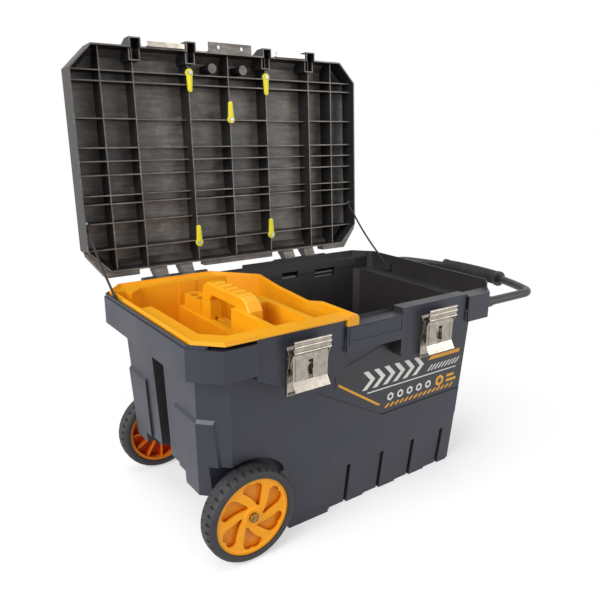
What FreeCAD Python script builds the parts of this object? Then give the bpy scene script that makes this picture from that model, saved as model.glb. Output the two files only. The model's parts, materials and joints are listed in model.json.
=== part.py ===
"""A rolling plastic tool box, 27 inch class, with its lid open against two cord stays.

Millimetres. +Z is up, -Y is the front with the latches, +Y the hinge side, +X the end with the pull
handle. The origin lies on the floor under the centre of the rim, on the flat underside.
"""
import FreeCAD, Part
import Sketcher
import math
import os

from FreeCAD import Placement, Rotation
from FreeCAD import Vector as V

doc = FreeCAD.newDocument("tool_box")
sheet = doc.addObject("Spreadsheet::Sheet", "sizes")

# Driving dimensions: alias, millimetres or degrees, what it is
DRIVING = [
    ("rim_length", 690, "collar, end to end"),
    ("rim_width", 430, "collar, front to back"),
    ("rim_height", 392, "floor to the collar's top"),
    ("rim_corner", 42, "leg of the collar's corner chamfers"),
    ("collar_drop", 52, "height of the collar"),
    ("collar_wall", 3.6, "collar's skirt"),
    ("collar_top_wall", 4, "collar's top and its end ledges"),
    ("lip_rise", 13, "tongue above the collar, right half"),
    ("lip_rise_tray", 6, "tongue above the collar, where the tray's flange lies"),
    ("lip_wall", 3, "tongue's thickness"),
    ("lip_inset", 2.5, "collar's face to the tongue"),
    ("wall", 4, "tub's walls and floor"),
    ("left_inset", 27, "collar's end to the left wall, at the collar's foot"),
    ("right_inset", 46, "collar's end to the right wall, at the collar's foot"),
    ("side_inset", 30, "collar's face to the long walls, at the collar's foot"),
    ("end_draft", 18, "how far the left wall leans in from collar to floor"),
    ("right_draft", 8, "how far the right wall leans in from collar to floor"),
    ("side_draft", 20, "how far each long wall leans in from collar to floor"),
    ("body_corner", 40, "leg of the tub's left corner chamfers"),
    ("right_corner", 14, "leg of the tub's right corner chamfers"),
    ("ledge_depth", 26, "rim to the ledges inside both ends"),
    ("room_inset", 32, "collar's face to the room over the ledges"),
    ("housing_near", 67, "middle of the front to a latch housing"),
    ("housing_far", 242, "middle of the front to a housing's outer edge"),
    ("housing_set_back", 6, "collar's face to a housing's face"),
    ("housing_rise", 4, "housing's top above the collar"),
    ("housing_drop", 92, "rim to a housing's lower edge"),
    ("housing_wall", 3, "housing's walls"),
    ("front_dip", 6, "how far the front rim drops between the housings"),
    ("label_recess", 1.8, "depth of the field behind the label"),
    ("label_thickness", 0.6, "label panel"),
    ("flute_pitch", 86, "slots in the foot band"),
    ("flute_start", -11, "first slot"),
    ("flute_slot", 5, "slot width"),
    ("slot_height", 88, "floor to the top of the slots and of the arched recesses"),
    ("slot_depth", 4, "how much deeper the slots are than the recesses, at the floor"),
    ("recess_width", 43, "arched recess beside each slot"),
    ("flute_height", 118, "top of the foot band"),
    ("flute_lean", 9.5, "how much more the recesses lean in at the floor"),
    ("flute_relief", 3.5, "how proud the pads stand between the recesses"),
    ("groove_width", 50, "groove in the left end, at its top"),
    ("groove_depth", 9, "groove in the left end"),
    ("step_height", 250, "top of the thicker lower part of the left end"),
    ("step_relief", 4, "how proud that part stands"),
    ("wheel_radius", 84, "tyre"),
    ("wheel_place", -246, "axle"),
    ("wheel_width", 38, "tyre's tread"),
    ("wheel_inset", 30, "collar's face to the middle of each tyre"),
    ("rim_radius", 69, "hub's outer face, where the tyre starts"),
    ("axle_radius", 6, "axle"),
    ("running_gap", 0.06, "radial play of a pin or shaft in its bore"),
    ("seat_gap", 0.3, "air between pieces that only rest on each other"),
    ("well_radius", 92, "wheel arch"),
    ("tread_groove", 4, "tread grooves"),
    ("tread_depth", 3, "depth of the tread grooves"),
    ("tread_reach", 13, "how far each tread groove runs in from the tyre's face"),
    ("hub_stem", 6, "how far a hub's barrel stands out behind its tyre"),
    ("washer_room", 10, "hub's barrel to the wheel arch's inner wall"),
    ("well_shelf", 170, "arch's flat top towards the corner"),
    ("tunnel_end", -144, "where the raised floor over the axle ends"),
    ("tunnel_height", 113, "under the raised floor"),
    ("tunnel_middle", 135, "under the raised floor, at its middle"),
    ("lid_height", 60, "lid's edge to its top"),
    ("lid_side_overlap", 4, "how far the lid stands out past the collar, front and back"),
    ("lid_end_overlap", 1, "how far the lid stands out past the collar's ends"),
    ("lid_wall", 3, "lid's skirt and top"),
    ("lid_lift", 2, "collar's top to the lid's edge"),
    ("lid_shoulder", 15, "slant between the lid's skirt and its top"),
    ("rib_wall", 2.4, "lid's ribs"),
    ("rib_face", 16, "lid's edge to the ribs' faces"),
    ("rib_relief", 36, "lid's edge to the ribs over the tray's handle"),
    ("open_angle", 93.8, "lid's opening, held by the stays"),
    ("hinge_out", 30, "collar's back face to the hinge pins"),
    ("hinge_drop", 1, "rim to the hinge pins"),
    ("lid_apron", 11, "how far the lid's hinge side stands out past its wall"),
    ("hinge_place", 165, "middle to each hinge"),
    ("knuckle_radius", 8, "hinge knuckles"),
    ("knuckle_width", 30, "pitch of the hinge knuckles"),
    ("knuckle_gap", 0.6, "air between knuckles"),
    ("hinge_pin_radius", 3, "hinge pins"),
    ("latch_place", 151, "middle of the front to each latch"),
    ("latch_width", 78, "latch base"),
    ("sheet_metal", 1.5, "latch base plate"),
    ("thin_metal", 1.2, "latch lever, hook and strike"),
    ("lever_pivot", 34, "rim to the lever's pin"),
    ("lever_out", 16, "housing's face to the lever's plate"),
    ("hook_out", 21, "housing's face to the hook's plate"),
    ("hook_pin_drop", 15, "lever's pin to the hook's pin"),
    ("hook_top", 5, "rim to the hook's top"),
    ("lever_flare", 9, "how far the lever's lip stands out"),
    ("latch_pin_radius", 1.5, "lever and hook pins"),
    ("tube_radius", 9, "pull handle's tube"),
    ("tube_bore", 7.6, "inside of the tube"),
    ("bush_wall", 2, "handle's bushes"),
    ("tube_inset", 18.5, "collar's face to each arm of the handle"),
    ("tube_drop", 28, "rim to the handle's tube"),
    ("tube_reach", 445, "middle to where the handle bends"),
    ("tube_inner", -20, "inner ends of the handle's arms"),
    ("grip_radius", 16, "handle's grip"),
    ("grip_length", 156, "handle's grip"),
    ("tube_corner", 34, "radius of the handle's bends, to the tube's middle"),
    ("tube_turn", 63, "how far each bend turns"),
    ("tray_height", 9, "rim to the tray's top"),
    ("tray_depth", 108, "tray, top to bottom"),
    ("tray_wall", 2.4, "tray's walls"),
    ("tray_edge", 3, "how far the tray's edge stands up from its flange"),
    ("tray_rim", 8, "width of the tray's raised rim"),
    ("tray_left", -335, "tray's left edge"),
    ("tray_right", -30, "tray's right edge"),
    ("grip_top", 32, "rim to the top of the tray's handle"),
    ("stay_radius", 2.25, "lid stays"),
    ("clip_length", 46, "turn clips"),
    ("clip_height", 5.5, "turn clips"),
]

sheet.set("A1", "name")
sheet.set("B1", "value")
sheet.set("C1", "what it is")
for row, (alias, value, meaning) in enumerate(DRIVING, start=2):
    sheet.set(f"A{row}", alias)
    sheet.set(f"B{row}", str(value))
    sheet.set(f"C{row}", meaning)
    sheet.setAlias(f"B{row}", alias)
doc.recompute()


class Size(float):
    """A number that remembers the sheet expression that gives it."""

    def __new__(cls, value, text):
        size = super().__new__(cls, value)
        size.text = text
        return size

    def __add__(self, other):
        return Size(float(self) + float(other), f"({self.text} + {text_of(other)})")

    def __radd__(self, other):
        return Size(float(other) + float(self), f"({text_of(other)} + {self.text})")

    def __sub__(self, other):
        return Size(float(self) - float(other), f"({self.text} - {text_of(other)})")

    def __rsub__(self, other):
        return Size(float(other) - float(self), f"({text_of(other)} - {self.text})")

    def __mul__(self, other):
        return Size(float(self) * float(other), f"({self.text} * {text_of(other)})")

    def __rmul__(self, other):
        return Size(float(other) * float(self), f"({text_of(other)} * {self.text})")

    def __truediv__(self, other):
        return Size(float(self) / float(other), f"({self.text} / {text_of(other)})")

    def __neg__(self):
        return Size(-float(self), f"(0 - {self.text})")


def text_of(value):
    """The expression of a Size, or a plain number as text."""
    return value.text if isinstance(value, Size) else repr(float(value))


class Sheet:
    """Reads a driving dimension by its alias, as a Size."""

    def __getattr__(self, alias):
        return Size(float(sheet.get(alias)), f"sizes.{alias}")


s = Sheet()

# Places that several pieces share
HALF_LENGTH = s.rim_length / 2
HALF_WIDTH = s.rim_width / 2
COLLAR_FOOT = s.rim_height - s.collar_drop
HOUSING_FACE = -HALF_WIDTH + s.housing_set_back
HINGE_Y = HALF_WIDTH + s.hinge_out
HINGE_Z = s.rim_height - s.hinge_drop
LID_EDGE = s.rim_height + s.lid_lift
LID_FRONT = -HALF_WIDTH - s.lid_side_overlap
LID_BACK = HALF_WIDTH + s.lid_side_overlap
LID_REACH = LID_BACK - LID_FRONT
WALL_END = HALF_LENGTH - s.right_inset - s.right_corner
TUBE_Z = s.rim_height - s.tube_drop
TUBE_SIDE = HALF_WIDTH - s.tube_inset
WHEEL_SIDE = HALF_WIDTH - s.wheel_inset
WELL_FACE = WHEEL_SIDE - s.wheel_width / 2 - s.hub_stem - s.washer_room
STOP_WEB = HALF_LENGTH - 109
BUSH_WEB = HALF_LENGTH - 49
FAR = 600
RIGHT_ROOT = math.sqrt(2)
RIVET = 2
SIDES = (-1, 1)

# Solids made with Part's own functions


def block(x0, x1, y0, y1, z0, z1):
    """A box between three pairs of planes."""
    return Part.makeBox(x1 - x0, y1 - y0, z1 - z0, V(x0, y0, z0))


def octagon(left, right, front, back, corner, z, far_corner=None):
    """The corners of a rectangle with 45 degree chamfers, at height z."""
    far = corner if far_corner is None else far_corner
    points = [
        (left + corner, front), (right - far, front), (right, front + far), (right, back - far),
        (right - far, back), (left + corner, back), (left, back - corner), (left, front + corner),
    ]
    return [V(x, y, z) for x, y in points]


def face_of(points):
    """A flat face inside a closed chain of corners."""
    return Part.Face(Part.makePolygon(points + points[:1]))


def loft(lower, upper):
    """A closed solid with flat sides between two outlines whose edges are parallel."""
    faces = [face_of(lower), face_of(upper)]
    for index, corner in enumerate(lower):
        following = (index + 1) % len(lower)
        faces.append(face_of([corner, lower[following], upper[following], upper[index]]))
    solid = Part.makeSolid(Part.makeShell(faces))
    return solid if solid.Volume > 0 else solid.reversed()


def slab_xz(points, y0, y1):
    """A front elevation (x, z) given its depth from y0 to y1."""
    return face_of([V(x, y0, z) for x, z in points]).extrude(V(0, y1 - y0, 0))


def slab_yz(points, x0, x1):
    """An end elevation (y, z) given its length from x0 to x1."""
    return face_of([V(x0, y, z) for y, z in points]).extrude(V(x1 - x0, 0, 0))


def slab_xy(points, z0, z1):
    """A plan (x, y) given its height from z0 to z1."""
    return face_of([V(x, y, z0) for x, y in points]).extrude(V(0, 0, z1 - z0))


def rod(radius, start, end):
    """A round bar between two points."""
    return Part.makeCylinder(radius, (end - start).Length, start, end - start)


def fused(shapes):
    """One solid out of several that meet, with no seams left between coplanar faces."""
    shapes = list(shapes)
    return shapes[0].multiFuse(shapes[1:]).removeSplitter() if len(shapes) > 1 else shapes[0]


def cut(shape, tools):
    """A solid with every tool taken out of it."""
    return shape.cut(list(tools))


# Sub-parts, in the order they are made
SUBPARTS = []


def subpart(obj, label):
    """Names an object of the document as one physical piece."""
    obj.Label = label
    SUBPARTS.append(obj)
    return obj


def feature(label, shape, placement=None):
    """A sub-part whose shape is set from the sheet's sizes, placed after its shape."""
    obj = doc.addObject("Part::Feature", f"{label}_solid")
    obj.Shape = shape
    if placement is not None:
        obj.Placement = placement
    return subpart(obj, label)


def bound(kind, name, base=(0, 0, 0), rotation=None, **sizes):
    """A Part primitive whose sizes and place are bound to the sheet."""
    obj = doc.addObject(kind, name)
    for prop, value in sizes.items():
        obj.setExpression(prop, text_of(value))
    if rotation is not None:
        obj.Placement = Placement(V(0, 0, 0), rotation)
    for axis, value in zip("xyz", base):
        obj.setExpression(f"Placement.Base.{axis}", text_of(value))
    return obj


def joined(kind, name, parts):
    """A fuse or compound of primitives."""
    obj = doc.addObject(kind, name)
    if kind == "Part::Compound":
        obj.Links = parts
    else:
        obj.Shapes = parts
    return obj


def difference(name, base, tool):
    """One primitive less another."""
    obj = doc.addObject("Part::Cut", name)
    obj.Base = base
    obj.Tool = tool
    return obj


ALONG_Y = Rotation(V(1, 0, 0), -90)
AGAINST_Y = Rotation(V(1, 0, 0), 90)
ALONG_X = Rotation(V(0, 1, 0), 90)

# Tub: section through the walls


def lean(height, draft):
    """How far a wall stands out at a height, from its lean between the floor and the collar's foot."""
    return draft * height / COLLAR_FOOT


def tub_section(height, inset):
    """The tub's outline at a height, moved inwards by inset."""
    left = -HALF_LENGTH + s.left_inset + s.end_draft - lean(height, s.end_draft) + inset
    right = HALF_LENGTH - s.right_inset - s.right_draft + lean(height, s.right_draft) - inset
    side = HALF_WIDTH - s.side_inset - s.side_draft + lean(height, s.side_draft) - inset
    corner = s.body_corner - inset * (2 - RIGHT_ROOT)
    far_corner = s.right_corner - inset * (2 - RIGHT_ROOT)
    return octagon(left, right, -side, side, corner, height, far_corner)


def collar_section(height, inset):
    """The collar's outline moved inwards by inset."""
    corner = s.rim_corner - inset * (2 - RIGHT_ROOT)
    return octagon(-HALF_LENGTH + inset, HALF_LENGTH - inset, -HALF_WIDTH + inset, HALF_WIDTH - inset,
                   corner, height)


def room_section(height, grow):
    """The wider room over the end ledges, grown outwards."""
    half = HALF_LENGTH - s.lip_inset - s.lip_wall + grow
    side = HALF_WIDTH - s.room_inset + grow
    corner_sum = HALF_LENGTH + HALF_WIDTH - s.rim_corner - s.collar_wall * RIGHT_ROOT
    corner = max(half + side - corner_sum, 1) if grow == 0 else 1
    return octagon(-half, half, -side, side, corner, height)


def side_at(height):
    """Half the tub's outer width at a height."""
    return HALF_WIDTH - s.side_inset - s.side_draft + lean(height, s.side_draft)


def end_at(height):
    """Where the left wall's outer face is at a height."""
    return -HALF_LENGTH + s.left_inset + s.end_draft - lean(height, s.end_draft)


def hollows_outside(grow):
    """Wheel arches, axle tunnel, end groove and foot bands, grown by a wall for the inside."""
    axle_x = s.wheel_place
    axle_z = s.wheel_radius
    tools = []
    for side in SIDES:
        face = side * (WELL_FACE - grow)
        far = side * FAR
        arch_x = axle_x + 6
        tools.append(rod(s.well_radius + grow, V(arch_x, face, axle_z), V(arch_x, far, axle_z)))
        low, high = sorted((face, far))
        tools.append(block(-FAR, arch_x, low, high, -1, s.well_shelf + grow))
        tools.append(block(-FAR, arch_x + s.well_radius + grow, low, high, -1, axle_z))
    tunnel_side = WELL_FACE + 1 + grow
    tools.append(block(-FAR, s.tunnel_end + grow, -tunnel_side, tunnel_side, -1, s.tunnel_height + grow))
    half_middle = 85 + grow
    tools.append(block(-FAR, s.tunnel_end + grow, -half_middle, half_middle, -1, s.tunnel_middle + grow))
    top = s.groove_width / 2 + grow
    foot = top - 8
    groove_end = end_at(0) + s.groove_depth + grow
    ceiling = COLLAR_FOOT - 2 + grow
    tools.append(slab_yz([(-foot, -1), (foot, -1), (top, ceiling), (-top, ceiling)], -FAR, groove_end))
    for side in SIDES:
        tools.append(foot_wedge(side, grow))
        tools += foot_slots(side, grow)
    return tools


def foot_wedge(side, grow):
    """What the foot band takes off one long wall, right of the wheels."""
    start = s.flute_start - 48 - grow
    top_y = side_at(s.flute_height) - s.flute_relief - grow
    floor_y = side_at(0) - s.flute_lean - grow
    points = [(side * top_y, s.flute_height), (side * floor_y, -1), (side * FAR, -1),
              (side * FAR, s.flute_height)]
    return slab_yz(points, start, FAR)


def foot_slots(side, grow):
    """The narrow upright slots in one long wall."""
    slots = []
    near, far = sorted((side * (side_at(0) - s.flute_lean - s.slot_depth - grow), side * FAR))
    for number in range(4):
        middle = s.flute_start + number * s.flute_pitch
        half = s.flute_slot / 2 + grow
        slots.append(block(middle - half, middle + half, near, far, -1, s.slot_height - 2 + grow))
    return slots


def foot_pads():
    """The foot band's proud face, with an arched recess left open beside each slot."""
    pads = []
    start = s.flute_start - 48
    for side in SIDES:
        inner = foot_wedge(side, 0)
        outer = inner.translated(V(0, side * s.flute_relief, 0))
        near, far = sorted((side * (side_at(0) - s.flute_lean - 1), side * FAR))
        right = HALF_LENGTH - s.right_inset - s.right_draft - s.right_corner
        band = block(start, right, near, far, 0, s.flute_height).common(inner)
        arches = [outer]
        for number in range(4):
            edge = s.flute_start + number * s.flute_pitch + s.flute_slot / 2
            left = edge - s.recess_width
            low = V(left, 0, -1)
            near_corner = V(left, 0, s.slot_height - 22)
            crown = V(left + 7, 0, s.slot_height - 6)
            top = V(left + 22, 0, s.slot_height)
            away = V(edge, 0, s.slot_height)
            sides = [Part.LineSegment(low, near_corner).toShape(), Part.Arc(near_corner, crown, top).toShape(),
                     Part.LineSegment(top, away).toShape(), Part.LineSegment(away, V(edge, 0, -1)).toShape(),
                     Part.LineSegment(V(edge, 0, -1), low).toShape()]
            arch = Part.Face(Part.Wire(sides)).extrude(V(0, 2 * side * FAR, 0))
            arches.append(arch.translated(V(0, -side * FAR / 2, 0)))
        pads.append(cut(band, arches))
    return pads


def latch_housing(sign):
    """The box that carries a latch, from the collar down to below it, open at its foot."""
    near = s.housing_near
    far = s.housing_far
    top = s.rim_height + s.housing_rise
    foot = s.rim_height - s.housing_drop
    outline = [(near, top), (far, top), (far, foot + 30), (far - 62, foot), (near + 8, foot),
               (near, foot + 10)]
    inner = [(near + s.housing_wall, top - s.collar_top_wall), (far - s.housing_wall, top - s.collar_top_wall),
             (far - s.housing_wall, foot + 30 + 2), (far - 62 - 1, foot - 1), (near + 8 + 2, foot - 1),
             (near + s.housing_wall, foot + 8)]
    back = -side_at(foot) + 1
    face = HOUSING_FACE
    shell = slab_xz([(sign * x, z) for x, z in outline], face, back)
    hollow = slab_xz([(sign * x, z) for x, z in inner], face + s.housing_wall, back + FAR)
    return shell, hollow


def rivet_places():
    """Where a latch's base is riveted, clear of the handle's tube, which runs behind it."""
    half = s.latch_width / 2
    return [(sign * (half - 8), s.rim_height - drop) for sign in SIDES for drop in (78, 46)]


def tub_lip():
    """The tongue round the top: high at the right and back, low beside the tray, none in front."""
    inset = s.lip_inset
    top = s.rim_height + s.lip_rise
    ring = loft(collar_section(s.rim_height - 1, inset), collar_section(top, inset)).cut(
        loft(collar_section(s.rim_height - 2, inset + s.lip_wall), collar_section(top + 1, inset + s.lip_wall)))
    front = block(-FAR, FAR, -FAR, -HALF_WIDTH + s.rim_corner / 2, 0, FAR)
    low = block(-FAR, s.tray_right + 12, -FAR, FAR, s.rim_height + s.lip_rise_tray, FAR)
    return ring.cut([front, low])


def hinge_lugs(numbers, root, gap):
    """Knuckles round the hinge axis with their webs; root is the web's end elevation at the wall."""
    lugs = []
    for sign in SIDES:
        start = sign * s.hinge_place - 2.5 * s.knuckle_width
        for number in numbers:
            x0 = start + number * s.knuckle_width + gap / 2
            x1 = x0 + s.knuckle_width - gap
            barrel = rod(s.knuckle_radius, V(x0, HINGE_Y, HINGE_Z), V(x1, HINGE_Y, HINGE_Z))
            lugs.append(fused([slab_yz(root, x0, x1), barrel]))
    return lugs


def hinge_bores(radius):
    """The pin holes through both groups of knuckles."""
    reach = 3 * s.knuckle_width
    return [rod(radius, V(sign * s.hinge_place - reach, HINGE_Y, HINGE_Z),
                V(sign * s.hinge_place + reach, HINGE_Y, HINGE_Z)) for sign in SIDES]


def axle_cheeks():
    """The two webs under the raised floor that carry the axle, with their bosses."""
    x = s.wheel_place
    z = s.wheel_radius
    boss = 15
    foot = z - boss - 3
    cheeks = []
    for side in SIDES:
        outer = side * WELL_FACE
        inner = side * (WELL_FACE - s.wall)
        low, high = sorted((outer, inner))
        outline = [(x - 44, s.tunnel_height + 2), (x - 20, foot), (x + 20, foot),
                   (x + 60, s.tunnel_height + 2)]
        cheeks.append(slab_xz(outline, low, high))
        cheeks.append(rod(boss, V(x, outer, z), V(x, side * (WELL_FACE - 26), z)))
    return cheeks


def label_field(depth_sign):
    """The V-edged field behind the label, in the front wall's own plane."""
    points = [(-101, 131), (-101, 92), (-40, 92), (-40, s.collar_drop + 1), (WALL_END + 18, s.collar_drop + 1),
              (WALL_END + 15, 215), (60, 218)]
    deep = []
    for x, drop in points:
        z = s.rim_height - drop
        deep.append(V(x, -side_at(z) + s.label_recess, z))
    return face_of(deep).extrude(V(0, depth_sign * FAR, 0))


def tub_shape():
    """The tub's one moulding."""
    top = s.rim_height
    body = loft(tub_section(0, 0), tub_section(top, 0))
    step_top = s.step_height
    grown = -s.step_relief
    step = loft(tub_section(0, grown), tub_section(step_top, grown))
    step_taper = loft(tub_section(step_top, grown), tub_section(step_top + s.step_relief * 1.5, 0))
    corner_line = -HALF_LENGTH + s.left_inset + s.end_draft + s.body_corner
    step_zones = [block(-FAR, corner_line, *sorted((side * 62, side * (side_at(0) - 3))), 0, top)
                  for side in SIDES]
    steps = [solid.common(zone) for solid in (step, step_taper) for zone in step_zones]
    body = fused([body] + steps)
    collar = loft(collar_section(COLLAR_FOOT, 0), collar_section(top, 0))
    under = loft(collar_section(COLLAR_FOOT - 1, s.collar_wall),
                 collar_section(top - s.collar_top_wall, s.collar_wall))
    pockets = []
    housings = []
    housing_hollows = []
    for sign in SIDES:
        low, high = sorted((sign * s.housing_near, sign * s.housing_far))
        pockets.append(block(low, high, -FAR, HOUSING_FACE, 0, FAR))
        shell, hollow = latch_housing(sign)
        housings.append(shell)
        housing_hollows.append(hollow)
    low_top = top - s.front_dip
    dip = block(-s.housing_near, s.housing_near, -FAR, -side_at(top) + s.wall, low_top, FAR)
    dip_top = block(-s.housing_near, s.housing_near, -HALF_WIDTH + 1, -side_at(top) + 1,
                    low_top - s.collar_top_wall, low_top)
    ledge = loft(room_section(top - s.ledge_depth - s.collar_top_wall, 3.4), room_section(top, 3.4))
    ledge = ledge.common(collar)
    outside = hollows_outside(0)
    skirt = cut(cut(collar, pockets), [under])
    skirt = fused([skirt] + [cut(shell, [hollow]) for shell, hollow in zip(housings, housing_hollows)])
    body = cut(body, outside + [label_field(-1)])
    channel_webs = []
    for side in SIDES:
        near, far = sorted((side * (side_at(COLLAR_FOOT) - 1), side * (-HOUSING_FACE - 1)))
        for x in (STOP_WEB, BUSH_WEB):
            channel_webs.append(block(x, x + 4, near, far, COLLAR_FOOT, top - 1))
    whole = fused([body, skirt, ledge, dip_top, tub_lip()] + channel_webs + foot_pads())
    inner = loft(tub_section(s.wall, s.wall), tub_section(top + 20, s.wall))
    inner = cut(inner, hollows_outside(s.wall))
    room = loft(room_section(top - s.ledge_depth, 0), room_section(top + 20, 0))
    tools = [inner, room, dip]
    for x0, x1, z0, z1 in ((166, 226, 357, 377), (70, 116, 364, 380)):
        tools.append(block(x0, x1, HALF_WIDTH - s.room_inset - 12, side_at(top) + 1.5, z0, z1))
    for side in SIDES:
        start = V(STOP_WEB - 5, side * TUBE_SIDE, TUBE_Z)
        tools.append(rod(s.tube_radius + s.bush_wall, start, start + V(FAR, 0, 0)))
        for x, z in rivet_places():
            at = V(side * s.latch_place + x, HOUSING_FACE - 1, z)
            tools.append(rod(RIVET + 0.05, at, at + V(0, s.housing_wall + 2, 0)))
    reach = s.housing_near + s.housing_wall + 2
    tools.append(block(-reach, reach, -TUBE_SIDE - s.tube_radius - 1, -TUBE_SIDE + s.tube_radius + 1,
                       TUBE_Z - 15, TUBE_Z + 15))
    whole = cut(whole, tools)
    back_web = [(HALF_WIDTH - 1, top - 38), (HALF_WIDTH - 1, top - 3), (HINGE_Y, HINGE_Z + 2),
                (HINGE_Y + 5, HINGE_Z - 6)]
    lugs = hinge_lugs((0, 2, 4), back_web, s.knuckle_gap)
    frame = [(-62, 354), (66, 354), (66, top - s.front_dip - 2), (-62, top - s.front_dip - 2)]
    raised = slab_xz(frame, -HALF_WIDTH - 1.2, -HALF_WIDTH + 1)
    frame_inner = [(x * 0.9, z * 1.0) for x, z in ((-62, 359), (66, 359), (66, 379), (-62, 379))]
    raised = cut(raised, [slab_xz(frame_inner, -HALF_WIDTH - 5, -HALF_WIDTH - 0.2)])
    whole = fused([whole, raised] + lugs + axle_cheeks())
    axle_bore = rod(s.axle_radius + s.running_gap, V(s.wheel_place, -FAR, s.wheel_radius),
                    V(s.wheel_place, FAR, s.wheel_radius))
    return cut(whole, hinge_bores(s.hinge_pin_radius + s.running_gap) + [axle_bore])


feature("tub_shell", tub_shape())

# Label panel on the recessed field of the front wall


def label_shape():
    """A thin sheet that lies on the field, in the wall's own slope."""
    near = s.housing_near - s.seat_gap * 2
    far = s.housing_far + s.seat_gap * 2
    foot = s.housing_drop + s.seat_gap * 2
    points = [(-60, 94), (-62, 134), (60, 212), (WALL_END - 9, 210), (WALL_END - 5, 70), (WALL_END - 15, 56), (far, 56),
              (far, foot - 30), (far - 62, foot), (near + 8, foot), (near, foot - 10), (near, 64), (-20, 89),
              (-39, foot)]
    back = []
    for x, drop in points:
        z = s.rim_height - drop
        back.append(V(x, -side_at(z) + s.label_recess - s.seat_gap / 3, z))
    lean_angle = math.atan2(float(s.side_draft), float(COLLAR_FOOT))
    outward = V(0, -math.cos(lean_angle), -math.sin(lean_angle))
    return face_of(back).extrude(outward * float(s.label_thickness))


feature("label_panel", label_shape())

# Lid: modelled closed over the collar, then swung open about the hinge

OPEN = Placement(V(0, 0, 0), Rotation(V(1, 0, 0), -float(s.open_angle)), V(0, HINGE_Y, HINGE_Z))
RIBS_ALONG_DEPTH = (0, 96, 216, 283)
RIBS_ALONG_LENGTH = (45, 98, 136, 153, 193, 220, 246, 302, LID_REACH - 66, LID_REACH - 46)
POSTS = ((93, 22), (213, 24))
CLIPS = ((-95, LID_REACH - 42, -1), (95, LID_REACH - 42, -1), (0, 303, 1), (-95, 40, 1), (95, 40, 1))
CLIP_SCREW = 2
STRIKE_RIVET = 1.8
STRIKE_RIVET_OUT = 30
STRIKE_RIVET_RISE = 14
STAY_SCREW = 4
STAY_ANCHOR = (338, 100, 20)


def lid_point(along, into, depth):
    """A place in the closed lid: along its length, in from its back edge, up from its lower edge."""
    return V(along, LID_BACK - into, LID_EDGE + depth)


def lid_block(along0, along1, into0, into1, depth0, depth1):
    """A box given in the lid's own measures."""
    return block(along0, along1, LID_BACK - into1, LID_BACK - into0, LID_EDGE + depth0, LID_EDGE + depth1)


def lid_section(depth, inset):
    """The lid's outline at a depth, moved inwards by inset."""
    half = HALF_LENGTH + s.lid_end_overlap
    corner = s.rim_corner + s.lid_end_overlap + s.lid_side_overlap - 1.2 * RIGHT_ROOT
    corner = corner - inset * (2 - RIGHT_ROOT)
    return octagon(-half + inset, half - inset, LID_FRONT + inset, LID_BACK - inset, corner,
                   LID_EDGE + depth)


def lid_ribs():
    """The grid of ribs inside the lid, cut to its inner form and relieved over the tray's handle."""
    face = s.rib_face
    top = s.lid_height
    width = LID_REACH
    half_rib = s.rib_wall / 2
    ribs = []
    for place in RIBS_ALONG_DEPTH:
        for sign in SIDES[: 2 if place else 1]:
            ribs.append(lid_block(sign * place - half_rib, sign * place + half_rib, 0, width, face, top))
    for place in RIBS_ALONG_LENGTH:
        ribs.append(lid_block(-HALF_LENGTH, HALF_LENGTH, place - half_rib, place + half_rib, face, top))
    for sign in SIDES:
        ribs.append(rod(10, lid_point(sign * 38, width - 30, face), lid_point(sign * 38, width - 30, top)))
    grid = fused(ribs)
    bays = []
    for sign in SIDES:
        low, high = sorted((sign * (96 + half_rib), sign * (216 - half_rib)))
        bays.append(lid_block(low, high, 82, 330, 0, s.rib_relief))
    slant = s.lid_height - s.lid_shoulder
    inner = fused([loft(lid_section(0, s.lid_wall / 2), lid_section(slant, s.lid_wall / 2)),
                   loft(lid_section(slant, s.lid_wall / 2), lid_section(top - 1, s.lid_shoulder))])
    return cut(grid, bays).common(inner)


def lid_posts():
    """The posts on the front edge, either side of each strike, open below."""
    posts = []
    hollows = []
    reach = LID_REACH
    for place, width in POSTS:
        for sign in SIDES:
            middle = sign * place
            outline = [(-1, 0), (17, 0), (17, 24), (8, 44), (-1, 44)]
            inner = [(-10, -1), (14.6, -1), (14.6, 22), (6, 41), (-10, 41)]
            half = width / 2
            for points, room, kept in ((outline, half, posts), (inner, half - 2.4, hollows)):
                corners = [(LID_FRONT - out, LID_EDGE + depth) for out, depth in points]
                kept.append(slab_yz(corners, middle - room, middle + room))
            posts.append(lid_block(middle - half, middle + half, reach - 26, reach + 1, 8, s.lid_height - 8))
            hollows.append(lid_block(middle - half + 2.4, middle + half - 2.4, reach - 23.6, reach + 1, -1,
                                     s.lid_height - 12))
    return posts, hollows


def lid_apron():
    """The thick band along the lid's hinge side, open where the tub's knuckles pass."""
    half = HALF_LENGTH + s.lid_end_overlap
    back = LID_BACK + s.lid_apron
    shoulder = LID_BACK - s.rim_corner
    plan = [(-half + 5, shoulder), (-half, shoulder), (-half + 2, shoulder + 8), (-half + s.rim_corner - 6, back),
            (half - s.rim_corner + 6, back), (half - 2, shoulder + 8), (half, shoulder), (half - 5, shoulder)]
    band = slab_xy(plan, LID_EDGE + 3, LID_EDGE + 26)
    inner = loft(lid_section(-1, s.lid_wall / 2), lid_section(30, s.lid_wall / 2))
    gaps = []
    for sign in SIDES:
        start = sign * s.hinge_place - 2.5 * s.knuckle_width
        for number in range(0, 5, 2):
            x0 = start + number * s.knuckle_width
            gaps.append(block(x0 - 1, x0 + s.knuckle_width + 1, LID_BACK, FAR, 0, FAR))
    return cut(band, [inner] + gaps)


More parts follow.
